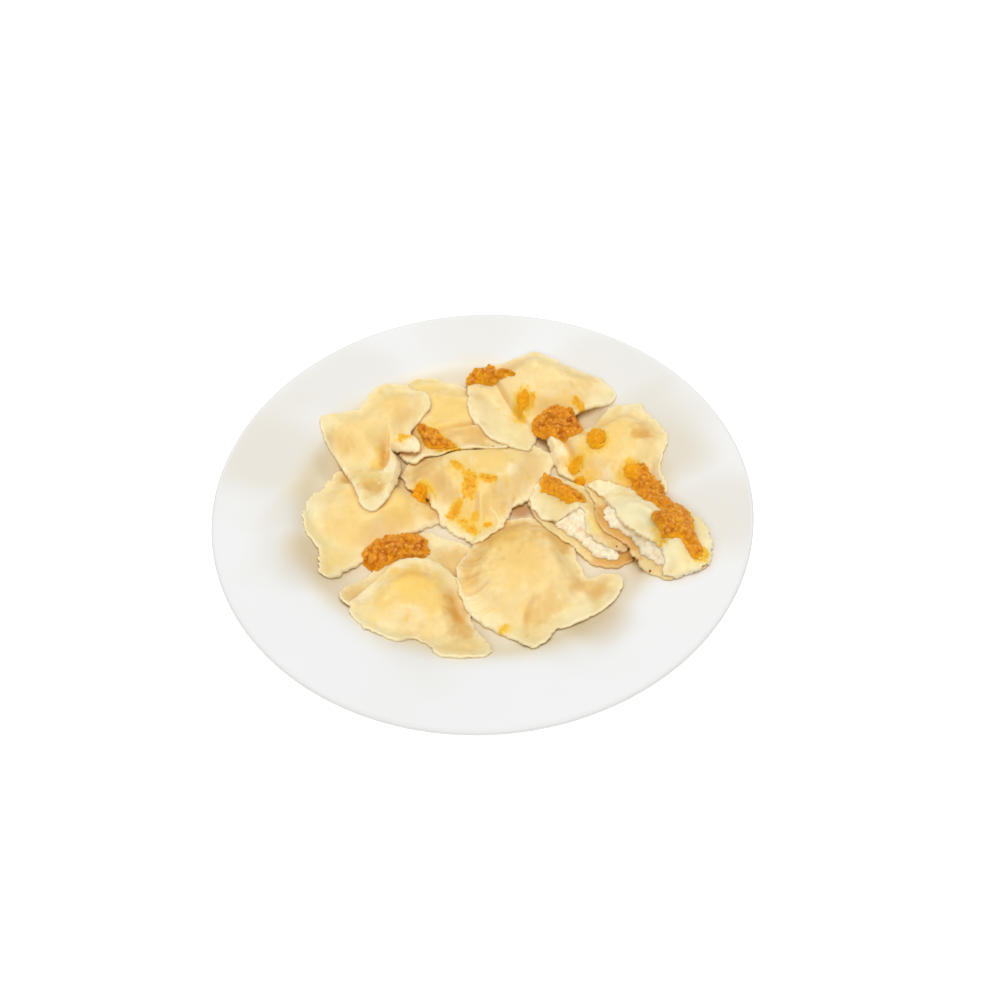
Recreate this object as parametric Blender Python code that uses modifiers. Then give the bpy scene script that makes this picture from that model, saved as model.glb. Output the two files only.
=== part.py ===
"""A plate of boiled filled dumplings with chopped fried onion.

The plate is a turned deep plate with a foot ring. Each dumpling is a soft sheet with a filled belly.
It is laid on the plate and on the dumplings before it: its underside follows what it lies on and
bridges the hollows, and its upper side stands above that by the thickness of the dough and filling.
The onion lies on the dumplings in the same way, in low uneven mounds.

Lengths in the tables are millimetres. The meshes are in metres, +Z up. The origin is the middle of
the plate's foot, on the surface that the plate stands on.
"""
import math

import bpy
import numpy as np

MM = 0.001

# The plate, from its middle outwards
PLATE_RADIUS = 135.0
RIM_HEIGHT = 26.0
FLOOR_HEIGHT = 6.0
FOOT_RADIUS = 66.0
FOOT_WIDTH = 5.0
FOOT_RECESS = 2.0
PLATE_TURNS = 64
# Upper side: (radius, height) of the flat floor, the wall of the well, its shoulder and the wide rim
PLATE_UPPER = [(60, 6.0), (74, 6.6), (82, 8.6), (89, 13.5), (93.5, 18.5), (97.5, 20.8), (104, 21.6)]
# Underside, from the rim's edge inwards to the foot ring
PLATE_UNDER = [(134.2, 23.6), (120, 20.4), (101, 17.2), (94, 13.6), (87, 7.4), (78, 3.6), (71, 2.4)]

# Dough and filling
SHEET = 2.0
FOLD_WIDTH = 7.0
GAP = 0.45
STIFFNESS = 4.0
SAG = 0.12
SETTLING_STEPS = 12

# Chopped onion: thickness at a mound's edge, width of its slope and height of its waves
ONION_EDGE = 1.2
ONION_SLOPE = 5.0
ONION_WAVE = 0.5

# The height map on which the food is laid
CELL = 1.0
MAP_HALF = 145.0

# Mesh of one dumpling and of one onion mound: steps around, and the places of the rings
DUMPLING_STEPS = 34
DUMPLING_RINGS = (0.3, 0.58, 0.82, 1.0)
ONION_STEPS = 14
SHARP_ANGLE = 60.0
ONION_RINGS = (0.45, 0.8, 1.0)

# Each dumpling from the lowest to the highest. outline: points around its edge, anticlockwise.
# belly: middle x, y, half length, half width, turn in degrees and height of the filled part.
# lifts: x, y, height and spread of the places where the dough stands up from what it lies on.
DUMPLINGS = {
    "dumpling_left": {
        "outline": [
            (-91, -12), (-88, -20), (-82, -29), (-80, -43), (-74, -45), (-67, -39), (-57, -29),
            (-40, -17), (-25, -10), (-17, -3), (-26, 8), (-38, 18), (-52, 29), (-68, 30), (-78, 25),
            (-84, 14), (-90, 2),
        ],
        "belly": (-56, -2, 32, 22, -15, 10),
        "lifts": [(-78, -38, 1.5, 9)],
    },
    "dumpling_low_front": {
        "outline": [
            (-65, -63), (-52, -68), (-35, -70), (-20, -62), (-12, -50), (-6, -38), (-6, -26),
            (-17, -20), (-30, -15), (-42, -22), (-50, -33), (-60, -44), (-68, -54),
        ],
        "belly": (-38, -46, 22, 16, 0, 4),
        "lifts": [(-66, -55, 2, 8)],
    },
    "dumpling_front_left": {
        "outline": [
            (-60, -73), (-52, -80), (-40, -85), (-32, -81), (-25, -86), (-21, -94), (-12, -96),
            (0, -94), (4, -89), (-3, -77), (-6, -68), (-9, -57), (-13, -46), (-21, -39), (-30, -36),
            (-42, -37), (-51, -45), (-59, -56), (-63, -65),
        ],
        "belly": (-35, -58, 24, 20, -10, 9),
        "lifts": [(-34, -37, 3, 12)],
    },
    "dumpling_front": {
        "outline": [
            (-11, -57), (-6, -67), (5, -75), (15, -83), (22, -91), (29, -85), (33, -77), (40, -76),
            (52, -71), (61, -65), (66, -55), (65, -48), (58, -45), (51, -47), (47, -37), (45, -25),
            (39, -15), (30, -8), (18, -7), (6, -11), (-3, -19), (-10, -31), (-14, -42),
        ],
        "belly": (19, -38, 29, 25, 10, 13),
        "lifts": [(64, -48, 4, 10), (24, -86, 2, 9)],
    },
    "dumpling_right": {
        "outline": [
            (31, 53), (36, 43), (38, 33), (42, 22), (53, 14), (66, 6), (80, 0), (94, -2), (93, 12),
            (95, 21), (99, 30), (97, 40), (90, 51), (88, 58), (76, 60), (69, 59), (60, 54), (45, 55),
        ],
        "belly": (64, 32, 27, 24, 0, 11),
        "lifts": [(36, 44, 3, 7)],
    },
    "dumpling_middle": {
        "outline": [
            (-44, 26), (-42, 18), (-35, 9), (-28, 4), (-24, -2), (-21, -10), (-12, -19), (-2, -23),
            (5, -19), (11, -12), (15, -2), (24, 5), (34, 18), (38, 31), (34, 41), (15, 46), (-8, 46),
            (-24, 43), (-38, 35),
        ],
        "belly": (0, 18, 38, 24, 0, 12),
        "lifts": [(-30, 9, 2, 6), (18, 2, 2, 9)],
    },
    "dumpling_back_left": {
        "outline": [
            (-47, 50), (-45, 38), (-37, 31), (-30, 36), (-20, 34), (-6, 37), (10, 38), (16, 46),
            (15, 62), (11, 75), (3, 84), (-10, 86), (-22, 88), (-34, 88), (-42, 83), (-46, 69),
        ],
        "belly": (-18, 66, 28, 22, 0, 9),
        "lifts": [(-10, 46, 2.5, 10)],
    },
    "dumpling_half_left": {
        "outline": [
            (24, 3), (27, -6), (30, -13), (38, -23), (50, -31), (60, -40), (70, -41), (75, -37),
            (71, -25), (64, -12), (60, 0), (54, 11), (45, 16), (36, 21), (29, 13),
        ],
        "belly": (50, -10, 32, 22, -40, 13),
        "lifts": [(26, 4, 2, 6)],
    },
    "dumpling_half_right": {
        "outline": [
            (54, 12), (58, -1), (61, -17), (67, -23), (74, -30), (77, -47), (83, -58), (92, -57),
            (104, -54), (108, -45), (110, -36), (106, -23), (95, -11), (86, 0), (73, 7), (62, 14),
        ],
        "belly": (84, -24, 34, 22, -50, 10),
        "lifts": [(108, -42, 2, 8)],
    },
    "dumpling_back": {
        "outline": [
            (-8, 84), (-7, 72), (-8, 64), (-4, 54), (8, 44), (19, 39), (26, 38), (31, 50), (41, 59),
            (52, 61), (58, 63), (71, 62), (75, 67), (68, 78), (55, 87), (43, 95), (33, 101), (24, 99),
            (12, 96), (0, 94),
        ],
        "belly": (38, 80, 34, 20, -22, 12),
        "lifts": [(30, 100, 1.5, 8)],
    },
    "dumpling_top_left": {
        "outline": [
            (-88, 55), (-85, 42), (-79, 33), (-73, 23), (-66, 6), (-62, -4), (-55, -9), (-49, -2),
            (-45, 10), (-44, 26), (-46, 36), (-50, 42), (-42, 38), (-34, 37), (-34, 43), (-39, 52),
            (-32, 59), (-28, 67), (-33, 77), (-40, 81), (-53, 82), (-61, 76), (-68, 65), (-77, 60),
        ],
        "belly": (-56, 56, 26, 24, 30, 8),
        "lifts": [(-37, 42, 3, 6), (-48, 20, 2, 9)],
    },
}

# Mounds of chopped onion: points around the edge, anticlockwise, and height in the middle.
ONIONS = {
    "onion_back": {
        "outline": [
            (-8, 85), (-2, 85), (6, 81), (14, 81), (19, 82), (17, 88), (10, 91), (4, 95), (-5, 94),
        ],
        "height": 5,
    },
    "onion_right": {
        "outline": [
            (30, 52), (37, 51), (43, 45), (50, 41), (55, 46), (56, 56), (53, 63), (44, 65), (34, 64),
            (28, 57),
        ],
        "height": 6,
    },
    "onion_left": {
        "outline": [
            (-59, -35), (-53, -38), (-46, -34), (-38, -33), (-31, -33), (-27, -28), (-29, -19),
            (-38, -15), (-47, -17), (-56, -21), (-61, -29),
        ],
        "height": 6,
    },
    "onion_crease": {
        "outline": [
            (-33, 47), (-30, 42), (-22, 38), (-15, 35), (-13, 38), (-17, 42), (-23, 47), (-29, 53),
            (-35, 55),
        ],
        "height": 3.5,
    },
    "onion_dab": {
        "outline": [(56, 34), (60, 29), (65, 30), (66, 37), (61, 43), (57, 40)],
        "height": 4,
    },
    "onion_low_right": {
        "outline": [
            (78, 8), (80, -1), (86, -8), (92, -12), (94, -6), (91, 4), (88, 15), (84, 18), (79, 14),
        ],
        "height": 5,
    },
    "onion_half_right": {
        "outline": [
            (84, -30), (87, -39), (94, -42), (100, -50), (103, -48), (103, -36), (102, -24), (99, -14),
            (92, -19), (84, -21),
        ],
        "height": 4,
    },
    "onion_half_left": {
        "outline": [
            (30, 9), (35, 3), (40, -3), (44, -8), (49, -6), (53, -1), (50, 6), (43, 12), (38, 18),
            (32, 19),
        ],
        "height": 4,
    },
}


def closed_curve(points, count):
    """Closed Catmull-Rom curve through the points, read at count places with equal lengths between."""
    knots = np.array(points, float)
    total = len(knots)
    steps = np.linspace(0.0, total, 24 * total, endpoint=False)
    start = steps.astype(int)
    part = (steps - start)[:, None]
    a, b, c, d = (knots[(start + shift) % total] for shift in (-1, 0, 1, 2))
    dense = 0.5 * (
        2.0 * b
        + (c - a) * part
        + (2.0 * a - 5.0 * b + 4.0 * c - d) * part**2
        + (3.0 * b - a - 3.0 * c + d) * part**3
    )
    closed = np.vstack([dense, dense[:1]])
    length = np.concatenate([[0.0], np.cumsum(np.hypot(*np.diff(closed, axis=0).T))])
    places = np.linspace(0.0, length[-1], count, endpoint=False)
    return np.column_stack([np.interp(places, length, closed[:, axis]) for axis in (0, 1)])


def softened(loop, waves=2.2):
    """The closed loop with only its few longest waves kept: its Fourier terms fade by a Gaussian."""
    spectrum = np.fft.fft(loop[:, 0] + 1j * loop[:, 1])
    order = np.fft.fftfreq(len(loop), 1.0 / len(loop))
    spectrum *= np.exp(-0.5 * (order / waves) ** 2)
    soft = np.fft.ifft(spectrum)
    return np.column_stack([soft.real, soft.imag])


def plan_rings(outline, places, core=0.5):
    """Points of each ring, from the middle (place 0) to the outline (place 1), and the middle.

    Up to the core place a ring is the softened outline scaled about the middle. Past it, a ring
    point lies on the straight line from that core loop to the outline.
    """
    soft = softened(outline)
    middle = soft.mean(axis=0)
    inner = middle + core * (soft - middle)
    rings = []
    for place in places:
        if place <= core:
            rings.append(middle + (place / core) * (inner - middle))
        else:
            rings.append(inner + (place - core) / (1.0 - core) * (outline - inner))
    return middle, np.array(rings)


def edge_distance(points, loop):
    """Distance of each point to the closed loop, positive inside it and negative outside."""
    nearest = np.full(len(points), 1e9)
    inside = np.zeros(len(points), bool)
    for start, end in zip(loop, np.roll(loop, -1, axis=0)):
        side = end - start
        along = np.clip((points - start) @ side / (side @ side + 1e-12), 0.0, 1.0)
        nearest = np.minimum(nearest, np.hypot(*(points - start - along[:, None] * side).T))
        crosses = (points[:, 1] < start[1]) != (points[:, 1] < end[1])
        if side[1] != 0.0:
            inside ^= crosses & (points[:, 0] < start[0] + (points[:, 1] - start[1]) * side[0] / side[1])
    return np.where(inside, nearest, -nearest)


def smoothstep(value):
    """0 below 0, 1 above 1, and a smooth S between."""
    part = np.clip(value, 0.0, 1.0)
    return part * part * (3.0 - 2.0 * part)


class HeightMap:
    """Square map of the height of everything laid so far, one value for each cell."""

    def __init__(self):
        line = np.arange(-MAP_HALF, MAP_HALF + CELL / 2, CELL)
        self.x, self.y = np.meshgrid(line, line)
        self.points = np.column_stack([self.x.ravel(), self.y.ravel()])
        radius, height = zip(*plate_upper())
        self.height = np.interp(np.hypot(self.x, self.y), radius, height)
        waves = np.fft.fftfreq(len(line), CELL)
        self.wave_x, self.wave_y = np.meshgrid(waves, waves)

    def blurred(self, values, spread):
        """Gaussian average over the spread, worked out on the map's Fourier series."""
        gain = np.exp(-2.0 * (math.pi * spread) ** 2 * (self.wave_x**2 + self.wave_y**2))
        return np.real(np.fft.ifft2(np.fft.fft2(values) * gain))

    def cell_of(self, points):
        """Row and column of the cell that holds each point."""
        index = np.rint((points + MAP_HALF) / CELL).astype(int)
        index = np.clip(index, 0, len(self.x) - 1)
        return index[..., 1], index[..., 0]

    def read(self, values, points):
        """Values of a map at the points, bilinear between its cells."""
        place = (points + MAP_HALF) / CELL
        low = np.clip(np.floor(place).astype(int), 0, len(self.x) - 2)
        right, up = np.moveaxis(place - low, -1, 0)
        column, row = np.moveaxis(low, -1, 0)
        lower = values[row, column] * (1 - right) + values[row, column + 1] * right
        upper = values[row + 1, column] * (1 - right) + values[row + 1, column + 1] * right
        return lower * (1 - up) + upper * up

    def settled(self, covered):
        """Height of the underside of a limp sheet laid on the map over the covered cells.

        The sheet is averaged over its stiffness and let down by its sag, again and again, and each
        time it is pushed back above what it lies on.
        """
        support = self.height + GAP
        weight = covered.astype(float)
        weight_blurred = np.maximum(self.blurred(weight, STIFFNESS), 1e-3)
        sheet = support * weight
        for _ in range(SETTLING_STEPS):
            average = self.blurred(sheet * weight, STIFFNESS) / weight_blurred
            sheet = np.where(covered, np.maximum(support, average - SAG), 0.0)
        return sheet

    def raise_to(self, corners):
        """Stamp triangles, given by their corners, into the map wherever they are higher."""
        samples = corners_to_samples(corners)
        row, column = self.cell_of(samples[..., :2])
        np.maximum.at(self.height, (row.ravel(), column.ravel()), samples[..., 2].ravel())


def corners_to_samples(corners, steps=14):
    """Points spread evenly over each triangle, its edges included."""
    weights = [
        (i / steps, j / steps, (steps - i - j) / steps)
        for i in range(steps + 1)
        for j in range(steps + 1 - i)
    ]
    return np.einsum("sc,tcx->tsx", np.array(weights), corners)


def plate_upper():
    """Radius and height along the plate's upper side, from the axis to the rim's edge."""
    return [(0.0, FLOOR_HEIGHT)] + PLATE_UPPER + [(133.0, 25.7), (134.4, RIM_HEIGHT)]


def belly_height(points, belly):
    """Height of the filled part: a rounded mound over an ellipse, level with the sheet at its edge."""
    x, y, half_length, half_width, turn, height = belly
    angle = math.radians(turn)
    across = points - np.array([x, y])
    along = across[:, 0] * math.cos(angle) + across[:, 1] * math.sin(angle)
    aside = across[:, 1] * math.cos(angle) - across[:, 0] * math.sin(angle)
    square = (along / half_length) ** 2 + (aside / half_width) ** 2
    return height * np.clip(1.0 - square, 0.0, None) ** 1.2


def lift_height(points, lifts):
    """Sum of the soft rises at the places where the dough stands up."""
    total = np.zeros(len(points))
    for x, y, height, spread in lifts:
        square = (points[:, 0] - x) ** 2 + (points[:, 1] - y) ** 2
        total += height * np.exp(-0.5 * square / spread**2)
    return total


def ring_triangles(rings, steps):
    """Triangles of one side: a fan at the middle, point 0, and bands between the rings."""
    index = np.arange(steps)
    after = (index + 1) % steps
    fan = np.column_stack([np.zeros(steps, int), 1 + index, 1 + after])
    bands = []
    for ring in range(rings - 1):
        inner = 1 + ring * steps
        outer = inner + steps
        bands.append(np.column_stack([inner + index, outer + index, outer + after]))
        bands.append(np.column_stack([inner + index, outer + after, inner + after]))
    return np.vstack([fan] + bands)


def lay(ground, outline, thickness, lifts, steps, ring_places):
    """Points and triangles of one soft piece laid on the ground map, which it then joins.

    The piece has the same points on its upper side and its underside, one above the other. Where a
    triangle of the underside would cut what it lies on, its corners are raised until it is clear.
    """
    loop = closed_curve(outline, steps)
    middle, rings = plan_rings(loop, ring_places)
    plan = np.vstack([middle, rings.reshape(-1, 2)])
    triangles = ring_triangles(len(ring_places), steps)
    fine_loop = closed_curve(outline, 4 * steps)
    reach = edge_distance(ground.points, fine_loop).reshape(ground.x.shape)
    sheet = ground.settled(reach > -2.0 * CELL)
    low = ground.read(sheet, plan) + lift_height(plan, lifts)
    for _ in range(60):
        samples = corners_to_samples(np.column_stack([plan, low])[triangles])
        row, column = ground.cell_of(samples[..., :2])
        lack = (ground.height[row, column] + GAP - samples[..., 2]).max(axis=1)
        if lack.max() <= 0.0:
            break
        rise = np.zeros(len(plan))
        for corner in range(3):
            np.maximum.at(rise, triangles[:, corner], np.maximum(lack, 0.0))
        low += 0.6 * rise + 0.02 * (rise > 0.0)
    high = low + thickness(plan, edge_distance(plan, fine_loop))
    ground.raise_to(np.column_stack([plan, high])[triangles])
    points = np.vstack([np.column_stack([plan, high]), np.column_stack([plan, low])])
    rim = 1 + (len(ring_places) - 1) * steps + np.arange(steps)
    rim_after = np.roll(rim, -1)
    below = len(plan)
    side = np.vstack([
        np.column_stack([rim, rim + below, rim_after + below]),
        np.column_stack([rim, rim_after + below, rim_after]),
    ])
    return points, np.vstack([triangles, triangles[:, ::-1] + below, side])


def dumpling_solid(ground, sizes):
    """One dumpling: a dough sheet of even thickness with its filled belly."""

    def thickness(points, inward):
        return SHEET + belly_height(points, sizes["belly"]) * smoothstep(inward / FOLD_WIDTH)

    return lay(ground, sizes["outline"], thickness, sizes["lifts"], DUMPLING_STEPS, DUMPLING_RINGS)


def onion_solid(ground, sizes):
    """One mound of chopped onion: domed, with a wavy top and an uneven edge."""

    def thickness(points, inward):
        waves = ONION_WAVE * np.sin(1.1 * points[:, 0] + 0.4) * np.sin(0.9 * points[:, 1])
        rise = sizes["height"] - ONION_EDGE + waves
        return ONION_EDGE + rise * smoothstep(inward / ONION_SLOPE)

    return lay(ground, sizes["outline"], thickness, [], ONION_STEPS, ONION_RINGS)


def material(name, colour, roughness):
    """Principled material with one colour, given as red, green and blue in linear light."""
    made = bpy.data.materials.new(name)
    made.use_nodes = True
    shader = made.node_tree.nodes["Principled BSDF"]
    shader.inputs["Base Color"].default_value = (*colour, 1.0)
    shader.inputs["Roughness"].default_value = roughness
    shader.inputs["Metallic"].default_value = 0.0
    made.diffuse_color = (*colour, 1.0)
    return made


def add_mesh(name, points, faces, finish, collection):
    """Object with the points in millimetres and the faces, finished with one material."""
    mesh = bpy.data.meshes.new(name)
    mesh.from_pydata((points * MM).tolist(), [], faces.tolist())
    mesh.materials.append(finish)
    mesh.shade_smooth()
    mesh.set_sharp_from_angle(angle=math.radians(SHARP_ANGLE))
    obj = bpy.data.objects.new(name, mesh)
    collection.objects.link(obj)
    return obj


def add_plate(finish, collection):
    """The plate: a profile from the axis over the rim to the foot and back, turned by Screw."""
    foot_inner = FOOT_RADIUS - FOOT_WIDTH
    profile = plate_upper() + [(PLATE_RADIUS, 25.0)] + PLATE_UNDER
    profile += [(FOOT_RADIUS + 1.2, FOOT_RECESS), (FOOT_RADIUS, 0.0), (foot_inner, 0.0)]
    profile += [(foot_inner - 1.2, FOOT_RECESS), (0.0, FOOT_RECESS)]
    mesh = bpy.data.meshes.new("plate")
    corners = [(radius * MM, 0.0, height * MM) for radius, height in profile]
    mesh.from_pydata(corners, [(i, i + 1) for i in range(len(corners) - 1)], [])
    mesh.materials.append(finish)
    plate = bpy.data.objects.new("plate", mesh)
    collection.objects.link(plate)
    screw = plate.modifiers.new("turn", "SCREW")
    screw.axis = "Z"
    screw.angle = 2.0 * math.pi
    screw.steps = PLATE_TURNS
    screw.render_steps = PLATE_TURNS
    screw.use_merge_vertices = True
    screw.merge_threshold = 0.00001
    return plate


def main():
    for obj in list(bpy.data.objects):
        bpy.data.objects.remove(obj, do_unlink=True)
    collection = bpy.data.collections.new("dumplings_on_plate")
    bpy.context.scene.collection.children.link(collection)
    glaze = material("white_glazed_porcelain", (0.84, 0.82, 0.78), 0.15)
    dough = material("boiled_dough", (0.87, 0.71, 0.42), 0.35)
    onion = material("fried_onion", (0.64, 0.28, 0.06), 0.4)
    add_plate(glaze, collection)
    ground = HeightMap()
    for name, sizes in DUMPLINGS.items():
        points, faces = dumpling_solid(ground, sizes)
        add_mesh(name, points, faces, dough, collection)
    for name, sizes in ONIONS.items():
        points, faces = onion_solid(ground, sizes)
        add_mesh(name, points, faces, onion, collection)


main()
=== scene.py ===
"""Looks of a plate of boiled filled dumplings with fried onion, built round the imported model.

Every soft piece is a sheet or a mound laid on a height map of the plate and of the food laid before
it. Its underside bridges the hollows it lies over, its upper side stands above that by the thickness
of the dough and filling, and both are then written into the map, so that the next piece lies on it.

Lengths in the tables are millimetres, and z is up from the surface that the plate stands on.
"""

import math

import bpy
import numpy as np
from mathutils import Matrix, Vector
from mathutils.geometry import delaunay_2d_cdt


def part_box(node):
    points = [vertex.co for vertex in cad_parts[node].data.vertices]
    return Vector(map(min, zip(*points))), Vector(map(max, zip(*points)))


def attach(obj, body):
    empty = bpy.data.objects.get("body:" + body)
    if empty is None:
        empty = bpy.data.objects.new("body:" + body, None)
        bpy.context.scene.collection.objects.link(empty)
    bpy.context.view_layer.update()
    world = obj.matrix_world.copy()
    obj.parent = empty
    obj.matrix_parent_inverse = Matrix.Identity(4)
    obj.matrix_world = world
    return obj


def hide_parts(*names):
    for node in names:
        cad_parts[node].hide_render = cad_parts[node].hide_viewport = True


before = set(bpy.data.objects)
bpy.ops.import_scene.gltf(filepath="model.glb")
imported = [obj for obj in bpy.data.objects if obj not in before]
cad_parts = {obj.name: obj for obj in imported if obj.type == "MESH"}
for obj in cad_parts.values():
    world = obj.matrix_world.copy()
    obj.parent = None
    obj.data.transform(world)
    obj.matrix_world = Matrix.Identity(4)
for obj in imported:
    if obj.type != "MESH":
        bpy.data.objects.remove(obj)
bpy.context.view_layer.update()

MM = 0.001

# ---------------------------------------------------------------------------------------- sizes

# The plate, as its solid has it: radius and rim height are read from the model. The profiles are
# radius and height. The outer edge of the rim is greyed by painted shade, and the well is painted
# warmer, as light reflected from the food.
PLATE_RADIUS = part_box("plate")[1].x / MM
RIM_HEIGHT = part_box("plate")[1].z / MM
FLOOR_HEIGHT = 6.0
FOOT_RADIUS = 66.0
FOOT_WIDTH = 5.0
FOOT_RECESS = 2.0
PLATE_TURNS = 288
PLATE_EDGE = [(133.8, 25.93), (134.3, RIM_HEIGHT), (134.7, 25.85), (134.93, 25.5), (PLATE_RADIUS, 25.0),
              (134.93, 24.5), (134.7, 24.0)]
EDGE_SHADE_RADIUS = 133.4
EDGE_SHADE_WIDTH = 1.4
BOUNCE_RADIUS = 105.0
BOUNCE_WIDTH = 16.0
PLATE_UPPER = [(60, 6.0), (74, 6.6), (82, 8.6), (89, 13.5), (93.5, 18.5), (97.5, 20.8), (104, 21.6)]
PLATE_UNDER = [(134.2, 23.6), (120, 20.4), (101, 17.2), (94, 13.6), (87, 7.4), (78, 3.6), (71, 2.4)]

# The height map on which the food is laid. SAG is how far a limp sheet sinks in each settling step,
# and DROOP the most by which its rim hangs lower than the rest, within about DROOP_REACH of it.
CELL = 0.5
MAP_HALF = 125.0
MAP_MARGIN = 9.0
GAP = 0.06
SETTLING_STEPS = 12
SAG = 0.12
DROOP = 1.6
DROOP_REACH = 3.0

# Painted shade: rings round a point where taller food is looked for, and how much taller is full shade
PLATE_SHADE_RINGS = ((2.0, 5.0, 9.0), 5.0)
DOUGH_SHADE_RINGS = ((1.2, 2.6, 4.5), 2.2)
SHADE_MARGIN = 0.3

# Dough: thickness of the sheet, width of its rounded rim and of the pressed fold round the filling
SHEET = 1.9
RIM_ROUNDING = 0.9
RIM_MIDDLE = 0.08
FOLD_WIDTH = 14.0
REACH_SOFTNESS = 3.5
BELLY_SPREAD = 1.3
STAIN_HEIGHT = 0.35
DOUGH_STIFFNESS = 4.0
TOP_SOFTNESS = 1.6

# Distance between the points of each kind of surface, and how many points go round its outline
DOUGH_SPACING, DOUGH_ROUND = 0.6, 420
FILLING_SPACING, FILLING_ROUND = 0.45, 300
ONION_SPACING, ONION_ROUND = 0.4, 220
DAB_SPACING, DAB_ROUND = 0.45, 72

# Distance between the rows of a three-way grid, for points 1 apart
THREE_WAY = 0.866
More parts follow.
